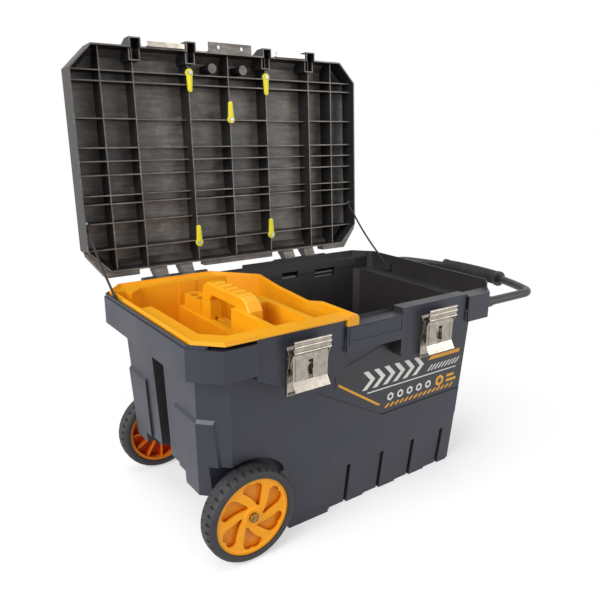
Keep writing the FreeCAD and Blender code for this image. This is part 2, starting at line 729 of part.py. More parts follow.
def lid_shape():
    """The lid's one moulding, closed."""
    wall = s.lid_wall
    slant = s.lid_height - s.lid_shoulder
    shoulder = s.lid_shoulder
    outer = fused([loft(lid_section(0, 0), lid_section(slant, 0)),
                   loft(lid_section(slant, 0), lid_section(s.lid_height, shoulder))])
    inner = fused([loft(lid_section(-1, wall), lid_section(slant - 1, wall)),
                   loft(lid_section(slant - 1, wall), lid_section(s.lid_height - wall, shoulder + 2))])
    shell = cut(outer, [inner])
    field = loft(lid_section(s.lid_height - 1, shoulder + 18), lid_section(s.lid_height + 3, shoulder + 22))
    posts, post_hollows = lid_posts()
    flange = lid_block(-52, 52, LID_REACH - 1, LID_REACH + 20, 0, 3)
    flange_web = lid_block(-52, 52, LID_REACH - 1, LID_REACH + 2.4, 0, 20)
    padlock_holes = [rod(4, lid_point(sign * 28, LID_REACH + 11, -1), lid_point(sign * 28, LID_REACH + 11, 4))
                     for sign in SIDES]
    web = [(LID_BACK - 1, LID_EDGE + 4), (LID_BACK - 1, LID_EDGE + 34), (HINGE_Y + 6, HINGE_Z + 4),
           (HINGE_Y - 5, HINGE_Z - 4)]
    lugs = hinge_lugs((1, 3), web, s.knuckle_gap)
    shell = cut(fused([shell, field, lid_apron()] + posts), post_hollows)
    bosses = [rod(6, lid_point(x, into, s.rib_face), lid_point(x, into, s.lid_height - 1))
              for x, into, toward in CLIPS]
    whole = fused([shell, lid_ribs(), flange, flange_web] + lugs + bosses)
    screw_bores = [rod(CLIP_SCREW, lid_point(x, into, 0), lid_point(x, into, s.rib_face + 14))
                   for x, into, toward in CLIPS]
    for sign in SIDES:
        for x in (-STRIKE_RIVET_OUT, STRIKE_RIVET_OUT):
            at = V(sign * s.latch_place + x, LID_FRONT - 5, LID_EDGE + STRIKE_RIVET_RISE)
            screw_bores.append(rod(STRIKE_RIVET + s.running_gap, at, at + V(0, 10, 0)))
        into, depth = STAY_ANCHOR[1:]
        end = HALF_LENGTH + s.lid_end_overlap - s.lid_wall
        screw_bores.append(rod(STAY_SCREW + 1, lid_point(sign * (end - 12), into, depth),
                               lid_point(sign * end, into, depth)))
    flutes = []
    for number in range(-3, 4):
        flutes.append(lid_block(-230, 230, 219 + number * 44 - 5, 219 + number * 44 + 5, s.lid_height + 1.4,
                                s.lid_height + 10))
    return cut(whole, hinge_bores(s.hinge_pin_radius + s.running_gap) + padlock_holes + flutes + screw_bores)


feature("lid_shell", lid_shape(), OPEN)

# Hinge pins
for side, name in zip(SIDES, ("left", "right")):
    length = 5 * s.knuckle_width
    pin = bound("Part::Cylinder", f"pin_{name}", (side * s.hinge_place - length / 2, HINGE_Y, HINGE_Z), ALONG_X,
                Radius=s.hinge_pin_radius, Height=length)
    subpart(pin, f"hinge_pin_{name}")

# Axle, washers and caps
axle_half = WHEEL_SIDE + s.wheel_width / 2
axle = bound("Part::Cylinder", "axle_rod", (s.wheel_place, -axle_half, s.wheel_radius), ALONG_Y,
             Radius=s.axle_radius, Height=2 * axle_half)
subpart(axle, "wheel_axle")
hub_back = WELL_FACE + s.washer_room
washer_rings = []
for side in SIDES:
    start = WELL_FACE + s.seat_gap if side > 0 else -hub_back + s.seat_gap
    long = hub_back - WELL_FACE - 2 * s.seat_gap
    at = (s.wheel_place, start, s.wheel_radius)
    disc = bound("Part::Cylinder", f"washer_disc_{side + 1}", at, ALONG_Y, Radius=11, Height=long)
    bore = bound("Part::Cylinder", f"washer_bore_{side + 1}", at, ALONG_Y,
                 Radius=s.axle_radius + s.running_gap, Height=long)
    washer_rings.append(difference(f"washer_{side + 1}", disc, bore))
subpart(joined("Part::Compound", "washers", washer_rings), "axle_spacers")
for side, name in zip(SIDES, ("front", "rear")):
    turn = AGAINST_Y if side < 0 else ALONG_Y
    face = WHEEL_SIDE + s.wheel_width / 2 - 3
    at = (s.wheel_place, side * (face + s.seat_gap), s.wheel_radius)
    cup = bound("Part::Cylinder", f"cap_cup_{name}", at, turn, Radius=8.5, Height=5)
    bore = bound("Part::Cylinder", f"cap_bore_{name}", at, turn, Radius=s.axle_radius, Height=2.7)
    shell = difference(f"cap_{name}", cup, bore)
    rim = doc.addObject("Part::Fillet", f"cap_round_{name}")
    rim.Base = shell
    doc.recompute()
    outer_edges = [number for number, edge in enumerate(shell.Shape.Edges, start=1)
                   if isinstance(edge.Curve, Part.Circle) and abs(edge.CenterOfMass.y) > face + 4]
    rim.Edges = [(number, 2.0, 2.0) for number in outer_edges]
    subpart(rim, f"axle_cap_{name}")

# Wheels: hubs and tyres are turned shapes about the axle, drawn as half sections


def new_sketch(body, name, plane, lift=0):
    """A sketch on one of the body's own origin planes, lifted along its normal."""
    sketch = body.newObject("Sketcher::SketchObject", name)
    support = [item for item in body.Origin.OriginFeatures if item.Role == plane][0]
    sketch.AttachmentSupport = [(support, "")]
    sketch.MapMode = "FlatFace"
    if lift:
        sketch.setExpression("AttachmentOffset.Base.z", text_of(lift))
    return sketch


def hold(sketch, line, value, kind):
    """Ties a line's first end to the sheet, across or up from the sketch's origin."""
    if abs(value) < 1e-9:
        axis = -2 if kind == "DistanceX" else -1
        sketch.addConstraint(Sketcher.Constraint("PointOnObject", line, 1, axis))
        return
    ends = (-1, 1, line, 1) if value > 0 else (line, 1, -1, 1)
    number = sketch.addConstraint(Sketcher.Constraint(kind, *ends, abs(float(value))))
    amount = text_of(value) if value > 0 else text_of(-value)
    sketch.setExpression(f"Constraints[{number}]", amount)


def chain(sketch, corners):
    """A closed chain of lines whose corners are tied to the sheet."""
    count = len(corners)
    for index, (x, y) in enumerate(corners):
        far_x, far_y = corners[(index + 1) % count]
        sketch.addGeometry(Part.LineSegment(V(x, y, 0), V(far_x, far_y, 0)))
    for index in range(count):
        sketch.addConstraint(Sketcher.Constraint("Coincident", index, 2, (index + 1) % count, 1))
    for index, (x, y) in enumerate(corners):
        hold(sketch, index, x, "DistanceX")
        hold(sketch, index, y, "DistanceY")


def turned(name, corners):
    """A body with one half section turned about its own upright axis."""
    body = doc.addObject("PartDesign::Body", f"{name}_body")
    sketch = new_sketch(body, f"{name}_section", "XZ_Plane")
    chain(sketch, corners)
    turn = body.newObject("PartDesign::Revolution", f"{name}_turn")
    turn.Profile = sketch
    turn.ReferenceAxis = (sketch, ["V_Axis"])
    turn.Angle = 360
    sketch.Visibility = False
    return body


def patterned(body, name, original, sketch, count):
    """Copies of a feature round the body's upright axis."""
    pattern = body.newObject("PartDesign::PolarPattern", name)
    pattern.Originals = [original]
    pattern.Axis = (sketch, ["N_Axis"])
    pattern.Angle = 360
    pattern.Occurrences = count
    body.Tip = pattern
    return pattern


TYRE_HALF = s.wheel_width / 2
SEAT = s.rim_radius - 3
HUB_FLANGE = TYRE_HALF - 5
HUB_FACE = TYRE_HALF - 4
HUB_WEB = HUB_FACE - 12
RIM_INSIDE = SEAT - 3
BARREL = 13


def hub(name):
    """A hub with six curved pockets in its face and twelve ribs behind it."""
    bore = s.axle_radius + s.running_gap
    back = -(TYRE_HALF + s.hub_stem)
    corners = [
        (bore, back), (BARREL, back), (BARREL, HUB_WEB), (RIM_INSIDE, HUB_WEB), (RIM_INSIDE, -HUB_FACE),
        (s.rim_radius, -HUB_FACE), (s.rim_radius, -HUB_FLANGE), (SEAT, -HUB_FLANGE), (SEAT, HUB_FLANGE),
        (s.rim_radius, HUB_FLANGE), (s.rim_radius, HUB_FACE), (RIM_INSIDE + 1, HUB_FACE),
        (RIM_INSIDE - 1, HUB_FACE - 1), (18, HUB_FACE - 1), (16, HUB_FACE + 1), (bore, HUB_FACE + 1),
    ]
    body = turned(name, corners)
    pocket_sketch = new_sketch(body, f"{name}_pocket_outline", "XY_Plane", HUB_FACE - 1)
    outer = RIM_INSIDE - 4

    def polar(radius, degrees):
        angle = math.radians(degrees)
        return V(float(radius) * math.cos(angle), float(radius) * math.sin(angle), 0)

    route = [(20, 0), (22, 11), (outer * 0.62, 37), (outer - 8, 50), (outer - 2, 48), (outer + 0.5, 30),
             (outer - 2, 12), (outer - 8, 8), (outer * 0.6, 2), (22, -9)]
    points = [polar(radius, degrees) for radius, degrees in route]
    arcs = []
    for first in range(1, len(points), 2):
        arcs.append((points[first], points[(first + 1) % len(points)], points[(first + 2) % len(points)]))
    for start, middle, end in arcs:
        pocket_sketch.addGeometry(Part.Arc(start, middle, end))
    pocket = body.newObject("PartDesign::Pocket", f"{name}_pocket")
    pocket.Profile = pocket_sketch
    pocket.setExpression("Length", text_of(HUB_FACE - HUB_WEB - 4))
    body.Tip = pocket
    patterned(body, f"{name}_pockets", pocket, pocket_sketch, 6)
    rib_sketch = new_sketch(body, f"{name}_rib_outline", "XY_Plane", -HUB_FACE + 3)
    inner = Size(BARREL - 1, repr(BARREL - 1.0))
    edge = RIM_INSIDE + 1
    half = Size(1.2, "1.2")
    chain(rib_sketch, [(inner, -half), (edge, -half), (edge, half), (inner, half)])
    rib = body.newObject("PartDesign::Pad", f"{name}_rib")
    rib.Profile = rib_sketch
    rib.setExpression("Length", text_of(HUB_WEB + HUB_FACE - 2))
    body.Tip = rib
    patterned(body, f"{name}_ribs", rib, rib_sketch, 12)
    return body


def tyre(name):
    """A solid rubber tyre seated between the hub's flanges, with chamfered shoulders."""
    lip = s.rim_radius + s.seat_gap
    rise = s.wheel_radius
    corners = [
        (SEAT, -HUB_FLANGE), (s.rim_radius, -HUB_FLANGE), (lip, -HUB_FLANGE - s.seat_gap),
        (lip, -TYRE_HALF + 1), (lip + 1, -TYRE_HALF), (rise - 8, -TYRE_HALF), (rise - 3.5, -TYRE_HALF + 2.5),
        (rise - 1, -TYRE_HALF + 6.5), (rise, -TYRE_HALF + 12), (rise, TYRE_HALF - 12), (rise - 1, TYRE_HALF - 6.5),
        (rise - 3.5, TYRE_HALF - 2.5), (rise - 8, TYRE_HALF),
        (lip + 1, TYRE_HALF), (lip, TYRE_HALF - 1), (lip, HUB_FLANGE + s.seat_gap),
        (s.rim_radius, HUB_FLANGE), (SEAT, HUB_FLANGE),
    ]
    body = turned(name, corners)
    # Tread grooves across both shoulders
    for end, lift in (("outside", TYRE_HALF), ("inside", -TYRE_HALF + s.tread_reach)):
        sketch = new_sketch(body, f"{name}_groove_{end}", "XY_Plane", lift)
        foot = s.wheel_radius - s.tread_depth
        clear = s.wheel_radius + 2
        half = s.tread_groove / 2
        chain(sketch, [(foot, -half), (clear, -half), (clear, half), (foot, half)])
        groove = body.newObject("PartDesign::Pocket", f"{name}_groove_{end}_cut")
        groove.Profile = sketch
        groove.setExpression("Length", text_of(s.tread_reach + 0.5))
        body.Tip = groove
        patterned(body, f"{name}_grooves_{end}", groove, sketch, 36)
    return body


for side, name in zip(SIDES, ("front", "rear")):
    for make, piece in ((hub, "wheel_hub"), (tyre, "wheel_tyre")):
        body = make(f"{piece}_{name}")
        body.Placement = Placement(V(0, 0, 0), AGAINST_Y if side < 0 else ALONG_Y)
        body.setExpression("Placement.Base.x", text_of(s.wheel_place))
        body.setExpression("Placement.Base.y", text_of(side * WHEEL_SIDE))
        body.setExpression("Placement.Base.z", text_of(s.wheel_radius))
        subpart(body, f"{piece}_{name}")

# Latches: base, lever, hook, pins and rivets, each made at the middle and moved to its side
LEVER_Z = s.rim_height - s.lever_pivot
HOOK_PIN_Z = LEVER_Z - s.hook_pin_drop
LEVER_PIN_Y = HOUSING_FACE - 8
HOOK_PIN_Y = LEVER_PIN_Y - 3
LEVER_Y = HOUSING_FACE - s.lever_out
HOOK_Y = HOUSING_FACE - s.hook_out
STRIKE_REACH = HOUSING_FACE - s.hook_out + s.thin_metal + 0.6


def latch_base_shape():
    """A stamped plate with a rolled frame and two ears that hold the lever's pin."""
    half = s.latch_width / 2
    thick = s.sheet_metal
    face = HOUSING_FACE
    z0 = s.rim_height - 100
    z1 = s.rim_height - 18
    plate = block(-half, half, face - thick, face, z0, z1)
    flanges = []
    for sign in SIDES:
        low, high = sorted((sign * half, sign * (half - thick)))
        profile = [(face, z0), (face - 6, z0), (face - 6, z0 + 40), (face - 11, LEVER_Z - 7),
                   (face - 11, LEVER_Z + 7), (face - 4, z1), (face, z1)]
        flanges.append(slab_yz(profile, low, high))
    flanges.append(block(-half, half, face - 6, face, z0, z0 + thick))
    window = block(-half + 14, half - 14, face - 2 * thick, face, z0 + 26, z0 + 40)
    staple = staple_shape(face - thick)
    pin_bore = rod(s.latch_pin_radius + s.running_gap, V(-half - 5, LEVER_PIN_Y, LEVER_Z),
                   V(half + 5, LEVER_PIN_Y, LEVER_Z))
    rivet_bores = [rod(RIVET, V(x, face - 10, z), V(x, face + 5, z)) for x, z in rivet_places()]
    return cut(fused([plate.cut(window)] + flanges + staple), [pin_bore] + rivet_bores)


def staple_shape(face):
    """The wire loop for a padlock, which stands out through the lever's slot."""
    z0 = LEVER_Z - 31
    z1 = LEVER_Z - 21
    out = face - 22
    wire = 1.5
    legs = [rod(wire, V(0, face + 0.5, z), V(0, out, z)) for z in (z0, z1)]
    bar = rod(wire, V(0, out, z0), V(0, out, z1))
    balls = [Part.makeSphere(wire, V(0, out, z)) for z in (z0, z1)]
    foot = block(-4, 4, face - 0.5, face + 0.5, z0 - 4, z1 + 4)
    return legs + [bar, foot] + balls


def rivet_group(name, x_middle):
    """Four domed rivets through the base plate and the housing's wall."""
    rivets = []
    for number, (x, z) in enumerate(rivet_places()):
        face = HOUSING_FACE - s.sheet_metal
        head = bound("Part::Sphere", f"{name}_dome_{number}", (x_middle + x, face + 1.6, z), AGAINST_Y,
                     Radius=4, Angle1=23.6)
        shank = bound("Part::Cylinder", f"{name}_shank_{number}", (x_middle + x, face - 1, z), ALONG_Y,
                      Radius=RIVET, Height=s.sheet_metal + s.housing_wall + 1)
        rivets.append(joined("Part::MultiFuse", f"{name}_rivet_{number}", [head, shank]))
    return joined("Part::Compound", name, rivets)


def lever_shape():
    """The lever: a pressed plate with side flanges, a padlock slot and a flared lip."""
    half = s.latch_width / 2 - 4
    thin = s.thin_metal
    face = LEVER_Y
    top = LEVER_Z + 4.5
    foot = LEVER_Z - 41
    flare = s.lever_flare
    plate = block(-half, half, face, face + thin, foot, top)
    lip = slab_yz([(face, foot + 0.5), (face - flare, foot - 14), (face - flare + thin, foot - 14.8),
                   (face + thin, foot - 0.5), (face + thin, foot + 2), (face, foot + 2)], -half, half)
    flanges = []
    for sign in SIDES:
        low, high = sorted((sign * half, sign * (half - thin)))
        profile = [(face + 0.5, LEVER_Z - 25), (face + 0.5, top), (LEVER_PIN_Y + 3.4, top),
                   (LEVER_PIN_Y + 3.4, LEVER_Z - 5), (HOOK_PIN_Y + 3, HOOK_PIN_Z - 3), (face + 3, LEVER_Z - 25)]
        flanges.append(slab_yz(profile, low, high))
    raised = slab_xz([(-half + 5, foot + 1.5), (half - 5, foot + 1.5), (half - 5, top - 4), (-half + 5, top - 4)],
                     face - 1.6, face + 0.4)
    slot = [block(-4.5, 4.5, face - FAR, face + 3, LEVER_Z - 38, LEVER_Z - 6),
            block(-half + 8.5, half - 8.5, face - FAR, face - 0.8, foot + 5, top - 7.5)]
    pins = [rod(s.latch_pin_radius + s.running_gap, V(-FAR, LEVER_PIN_Y, LEVER_Z), V(FAR, LEVER_PIN_Y, LEVER_Z)),
            rod(s.latch_pin_radius + s.running_gap, V(-FAR, HOOK_PIN_Y, HOOK_PIN_Z),
                V(FAR, HOOK_PIN_Y, HOOK_PIN_Z))]
    return cut(fused([plate, lip, raised] + flanges), slot + pins)


def hook_shape():
    """The hook: arms from its pin, a broad plate with two rolled ridges, and a curled top."""
    half = s.latch_width / 2 - 2.3
    thin = s.thin_metal
    face = HOOK_Y
    foot = LEVER_Z + 8
    top = s.rim_height - s.hook_top
    plate = block(-half, half, face, face + thin, foot, top)
    ridges = [rod(2.2, V(-half, face, z), V(half, face, z)) for z in (foot + 2.2, top - 9)]
    ridges = [cut(ridge, [block(-FAR, FAR, face + thin / 2, 0, 0, FAR)]) for ridge in ridges]
    curl = rod(2, V(-half, face + 0.2, top - 1), V(half, face + 0.2, top - 1))
    curl = cut(curl, [block(-FAR, FAR, face + thin, 0, 0, FAR)])
    arms = []
    for sign in SIDES:
        low, high = sorted((sign * half, sign * (half - thin)))
        profile = [(face + thin / 2, foot), (face + thin / 2, foot + 12), (LEVER_PIN_Y - 3, LEVER_Z + 6),
                   (LEVER_PIN_Y - 2.6, LEVER_Z - 5), (HOOK_PIN_Y + 2.7, HOOK_PIN_Z + 2),
                   (HOOK_PIN_Y + 2.7, HOOK_PIN_Z - 2.7), (HOOK_PIN_Y - 2.7, HOOK_PIN_Z - 2.7),
                   (HOOK_PIN_Y - 4, LEVER_Z - 4)]
        arms.append(slab_yz(profile, low, high))
    bore = rod(s.latch_pin_radius + s.running_gap, V(-FAR, HOOK_PIN_Y, HOOK_PIN_Z), V(FAR, HOOK_PIN_Y, HOOK_PIN_Z))
    return cut(fused([plate, curl] + ridges + arms), [bore])


def strike_shape():
    """The lid's strike, closed: a riveted plate whose lip the hook pulls down on."""
    half = s.latch_width / 2
    thin = s.thin_metal
    face = LID_FRONT
    foot = s.rim_height - s.hook_top - 2
    plate = block(-half, half, face - thin, face, foot, LID_EDGE + 22)
    lip = block(-half, half, STRIKE_REACH, face - thin / 2, foot, foot + thin)
    curl = block(-half, half, STRIKE_REACH, STRIKE_REACH + thin, foot, foot + 4)
    bores = [rod(STRIKE_RIVET + s.running_gap, V(x, face - 5, LID_EDGE + STRIKE_RIVET_RISE),
                 V(x, face + 5, LID_EDGE + STRIKE_RIVET_RISE)) for x in (-STRIKE_RIVET_OUT, STRIKE_RIVET_OUT)]
    return cut(fused([plate, lip, curl]), bores)


def strike_rivets():
    """Two flat rivets in each strike, closed."""
    rivets = []
    for sign in SIDES:
        for x in (-STRIKE_RIVET_OUT, STRIKE_RIVET_OUT):
            at = V(sign * s.latch_place + x, LID_FRONT - s.thin_metal, LID_EDGE + STRIKE_RIVET_RISE)
            head = rod(3.5, at, at - V(0, 1.4, 0))
            shank = rod(STRIKE_RIVET, at - V(0, 1, 0), at + V(0, s.thin_metal + s.lid_wall, 0))
            rivets.append(head.fuse(shank))
    return rivets


for side, name in zip(SIDES, ("left", "right")):
    middle = side * s.latch_place
    moved = Placement(V(middle, 0, 0), Rotation())
    feature(f"latch_base_{name}", latch_base_shape(), moved)
    subpart(rivet_group(f"rivets_{name}", middle), f"latch_rivets_{name}")
    feature(f"latch_lever_{name}", lever_shape(), moved)
    feature(f"latch_hook_{name}", hook_shape(), moved)
    half_base = s.latch_width / 2
    pin = bound("Part::Cylinder", f"lever_pin_{name}_rod", (middle - half_base, LEVER_PIN_Y, LEVER_Z), ALONG_X,
                Radius=s.latch_pin_radius, Height=2 * half_base)
    subpart(pin, f"lever_pin_{name}")
    half_hook = half_base - 2.3
    pin = bound("Part::Cylinder", f"hook_pin_{name}_rod", (middle - half_hook, HOOK_PIN_Y, HOOK_PIN_Z), ALONG_X,
                Radius=s.latch_pin_radius, Height=2 * half_hook)
    subpart(pin, f"hook_pin_{name}")
    feature(f"strike_{name}", strike_shape(), OPEN.multiply(moved))
feature("strike_rivets", Part.makeCompound(strike_rivets()), OPEN)

# Pull handle: one bent tube that slides in the collar's two channels, with its grip and stops


def handle_points():
    """The near half of the handle's line: arm, bend, and the bowed crossbar's ends and middle."""
    turn = math.radians(s.tube_turn)
    bend_end = V(s.tube_reach + s.tube_corner * math.sin(turn),
                 -TUBE_SIDE + s.tube_corner * (1 - math.cos(turn)), TUBE_Z)
    bow_angle = math.pi / 2 - turn
    bow_radius = -bend_end.y / math.sin(bow_angle)
    bow_centre = bend_end.x - bow_radius * math.cos(bow_angle)
    return turn, bend_end, bow_radius, bow_centre


def handle_line():
    """The handle's centre line, from one inner end round to the other."""
    turn, bend_end, bow_radius, bow_centre = handle_points()
    half_turn = turn / 2
    arm_end = V(s.tube_reach, -TUBE_SIDE, TUBE_Z)
    bend_middle = V(s.tube_reach + s.tube_corner * math.sin(half_turn),
                    -TUBE_SIDE + s.tube_corner * (1 - math.cos(half_turn)), TUBE_Z)
    crown = V(bow_centre + bow_radius, 0, TUBE_Z)
    other = V(1, -1, 1)
    near = [V(s.tube_inner, -TUBE_SIDE, TUBE_Z), arm_end, bend_middle, bend_end]
    far = [V(p.x * other.x, p.y * other.y, p.z * other.z) for p in near]
    edges = [
        Part.LineSegment(near[0], near[1]).toShape(),
        Part.Arc(near[1], near[2], near[3]).toShape(),
        Part.Arc(near[3], crown, far[3]).toShape(),
        Part.Arc(far[3], far[2], far[1]).toShape(),
        Part.LineSegment(far[1], far[0]).toShape(),
    ]
    return Part.Wire(edges)


def along(wire, radius):
    """A round bar swept along a wire."""
    start = wire.Edges[0].firstVertex().Point
    direction = wire.Edges[0].tangentAt(wire.Edges[0].FirstParameter)
    section = Part.Wire(Part.makeCircle(radius, start, direction))
    return wire.makePipeShell([section], True, True)


def bow_wire(half_angle0, half_angle1):
    """A stretch of the bowed crossbar between two angles off its middle."""
    turn, bend_end, bow_radius, bow_centre = handle_points()

    def on_bow(angle):
        return V(bow_centre + bow_radius * math.cos(angle), bow_radius * math.sin(angle), TUBE_Z)

    middle = (half_angle0 + half_angle1) / 2
    return Part.Wire(Part.Arc(on_bow(half_angle0), on_bow(middle), on_bow(half_angle1)).toShape())


centre_line = handle_line()
feature("handle_tube", along(centre_line, s.tube_radius).cut(along(centre_line, s.tube_bore)))
grip_angle = s.grip_length / 2 / handle_points()[2]
collar_angle = 7 / handle_points()[2]
grip_line = bow_wire(-grip_angle, grip_angle)
feature("handle_grip", along(grip_line, s.grip_radius).cut(along(centre_line, s.tube_radius)))
grip_collars = []
for side in SIDES:
    ends = sorted((side * grip_angle, side * (grip_angle + collar_angle)))
    ring_line = bow_wire(ends[0], ends[1])
    grip_collars.append(along(ring_line, s.grip_radius + 1.5).cut(along(centre_line, s.tube_radius + 0.1)))
feature("grip_collars", Part.makeCompound(grip_collars))
for side, name in zip(SIDES, ("front", "back")):
    bush_start = BUSH_WEB - 4
    at = (bush_start, side * TUBE_SIDE, TUBE_Z)
    bush_length = 38
    sleeve = bound("Part::Cylinder", f"bush_sleeve_{name}", at, ALONG_X, Radius=s.tube_radius + s.bush_wall,
                   Height=bush_length)
    bore = bound("Part::Cylinder", f"bush_bore_{name}", at, ALONG_X, Radius=s.tube_radius + s.running_gap,
                 Height=bush_length)
    subpart(difference(f"bush_{name}", sleeve, bore), f"handle_bush_{name}")
    stop_long = 12
    head = bound("Part::Box", f"stop_head_{name}",
                 (s.tube_inner - stop_long, side * TUBE_SIDE - s.tube_radius, TUBE_Z - 14),
                 Length=stop_long, Width=2 * s.tube_radius, Height=28)
    spigot = bound("Part::Cylinder", f"stop_spigot_{name}", (s.tube_inner - 1, side * TUBE_SIDE, TUBE_Z),
                   ALONG_X, Radius=s.tube_bore, Height=16)
    subpart(joined("Part::MultiFuse", f"stop_{name}", [head, spigot]), f"handle_stop_{name}")

# Tote tray: one moulding with its own handle, which hangs on the rim

TRAY_TOP = s.rim_height + s.tray_height
TRAY_FLOOR = TRAY_TOP - s.tray_depth
FLANGE_FOOT = s.rim_height + s.lip_rise_tray + s.seat_gap
SUNK_FOOT = s.rim_height + s.housing_rise + s.seat_gap
SPINE_TOP = s.rim_height - 42
SPINE_LEFT = -190
SPINE_RIGHT = -158
TRAY_CORNER = 34
STAY_NOTCH = (-330.6, 99, 153)


def tray_right_edge(inset):
    """The tray's stepped right edge, back to front."""
    right = s.tray_right - inset
    return [(right + 4, 122), (right - 16, 21), (right - 30, -97), (right - 12, -116)]


def tray_body():
    """The tray's outside below its flange."""
    side = side_at(TRAY_FLOOR) - s.wall - 5
    left = end_at(TRAY_FLOOR) + s.wall + 4
    corner = TRAY_CORNER
    plan = [(s.tray_right - 16, -side), (left + corner, -side), (left, -side + corner), (left, side - corner),
            (left + corner, side), (s.tray_right - 50, side)] + tray_right_edge(4)
    return slab_xy(plan, TRAY_FLOOR, TRAY_TOP).cut(tray_notch(0))


def tray_notch(grow):
    """What the tray leaves free for the groove in the tub's left end."""
    end = end_at(0) + s.groove_depth + s.wall + 4 + grow
    half = s.groove_width / 2 + s.wall + 4 + grow
    return block(-FAR, end, -half, half, 0, COLLAR_FOOT + s.wall + 2 + grow)


def tray_rooms():
    """The compartments, down to the tray's floor, and the hollow under its spine."""
    side = side_at(TRAY_FLOOR) - s.wall - 5 - s.tray_wall
    left = end_at(TRAY_FLOOR) + s.wall + 4 + s.tray_wall
    floor = TRAY_FLOOR + s.tray_wall
    wall = s.tray_wall
    corner = TRAY_CORNER - wall * (2 - RIGHT_ROOT)
    room_left = slab_xy([(SPINE_LEFT - 4, -side), (left + corner, -side), (left, -side + corner),
                         (left, side - corner), (left + corner, side), (SPINE_LEFT - 4, side)], floor, FAR)
    room_left = room_left.cut(tray_notch(wall))
    edge = tray_right_edge(4 + wall)
    well_edge = -105
    room_right = slab_xy([(SPINE_RIGHT + 3, -8), (SPINE_RIGHT + 3, side), (s.tray_right - 51, side)]
                         + edge[:3] + [(edge[3][0], edge[3][1] - 2), (edge[3][0], -side),
                                       (well_edge, -side), (well_edge, -8)], floor, FAR)
    ledge_room = slab_xy([(SPINE_LEFT + 6, -side), (well_edge - 12, -side), (well_edge - 12, -46),
                          (SPINE_LEFT + 6, -46)], SPINE_TOP, FAR)
    square_well = block(-172, -140, -138, -96, SPINE_TOP - 20, FAR)
    over_ledge = block(s.tray_left + wall, left + 1, 40, side, s.rim_height - 18, FAR)
    return [room_left, room_right, ledge_room, square_well, over_ledge]


def tray_hollows_below():
    """What is open under the tray: the thin spine, and the front ledge beside it."""
    side = side_at(TRAY_FLOOR) - s.wall - 5 - s.tray_wall
    spine = slab_xy([(SPINE_LEFT + 1, -side), (SPINE_RIGHT - 1, -side), (SPINE_RIGHT - 1, side),
                     (SPINE_LEFT + 1, side)], 0, SPINE_TOP - 24)
    shelf = block(SPINE_RIGHT - 2, -105 - s.tray_wall, -side, -12, 0, SPINE_TOP - 24)
    return [spine, shelf]


def tray_plan():
    """The tray's outline at its top."""
    front = -HALF_WIDTH + 0.5
    left = s.tray_left - 2
    back = HALF_WIDTH - s.lip_inset - s.lip_wall - 3
    corner_sum = HALF_LENGTH + HALF_WIDTH - s.rim_corner - s.lip_inset * RIGHT_ROOT - 0.5
    plan = [(s.tray_right - 12, front), (-(corner_sum + front), front), (left, -(corner_sum + left)),
            (left, corner_sum + left - 10), (left + 31, back), (s.tray_right - 70, back)]
    return plan + tray_right_edge(0)


def tray_middle(height):
    """The face inside the tray's raised rim, at a height."""
    outline = face_of([V(x, y, height) for x, y in tray_plan()])
    return outline.makeOffset2D(-s.tray_rim, 2)


def tray_flange():
    """The raised rim of the tray, the lower floor inside it and the bead at its right end."""
    front = -HALF_WIDTH + 0.5
    plan = tray_plan()
    plate = slab_xy(plan, FLANGE_FOOT, TRAY_TOP)
    outline = face_of([V(x, y, TRAY_TOP - 0.5) for x, y in plan])
    edge = outline.makeOffset2D(-1.5, 2).cut(outline.makeOffset2D(-5, 2)).extrude(V(0, 0, 0.5 + s.tray_edge))
    inside = outline.makeOffset2D(-5.5, 2)
    inside.translate(V(0, 0, SUNK_FOOT - TRAY_TOP + 0.5))
    sunk_floor = inside.extrude(V(0, 0, s.tray_wall))
    rim_wall = inside.cut(tray_middle(SUNK_FOOT)).extrude(V(0, 0, TRAY_TOP - SUNK_FOOT))
    stay_gap = block(-FAR, -330, 140, 156, TRAY_TOP, FAR)
    strike_gap = block(-s.housing_far - 4, -s.housing_near + 4, -FAR, HOUSING_FACE - s.seat_gap, TRAY_TOP, FAR)
    block_end = -s.housing_far - s.seat_gap
    pocket_front = HOUSING_FACE - s.seat_gap - 3
    notch = block(block_end, -s.housing_near + s.seat_gap, -FAR, pocket_front, 0, FAR)
    end_bead = block(-s.housing_near + 2, s.tray_right - 12, front, front + 9,
                     s.rim_height - s.front_dip + s.seat_gap, FLANGE_FOOT + 1)
    return [cut(plate, [notch]), sunk_floor, rim_wall, cut(edge, [notch, stay_gap, strike_gap]), end_bead]


def tray_handle():
    """The loop handle along the spine: two posts and a grip, with a gap for the fingers."""
    top = s.rim_height + s.grip_top
    outline = [(-101, SPINE_TOP - 6), (-98, top - 22), (-88, top - 7), (-72, top), (54, top), (68, top - 7),
               (76, top - 22), (84, SPINE_TOP - 6)]
    gap = [(-58, SPINE_TOP), (-58, top - 34), (-48, top - 24), (36, top - 24), (46, top - 34), (46, SPINE_TOP)]
    left = SPINE_LEFT + 1
    right = SPINE_RIGHT - 1
    loop = slab_yz(outline, left, right).cut(slab_yz(gap, left - 5, right + 5))
    long_edges = [edge for edge in loop.Edges
                  if edge.CenterOfMass.z > SPINE_TOP + 4 and abs(edge.tangentAt(edge.FirstParameter).x) < 0.1]
    loop = loop.makeFillet(4, long_edges)
    ridges = [rod(3.5, V(left + 3, y, top - 1), V(right - 3, y, top - 1)) for y in (-62, -38, -14, 10, 34)]
    back_block = block(SPINE_LEFT, SPINE_RIGHT, 84 - 4, 150, SPINE_TOP - 6, SPINE_TOP + 30)
    bit_rooms = [block(SPINE_LEFT + 5, SPINE_RIGHT - 5, y, y + 22, SPINE_TOP + 8, FAR) for y in (92, 120)]
    return cut(fused([loop, back_block] + ridges), bit_rooms)


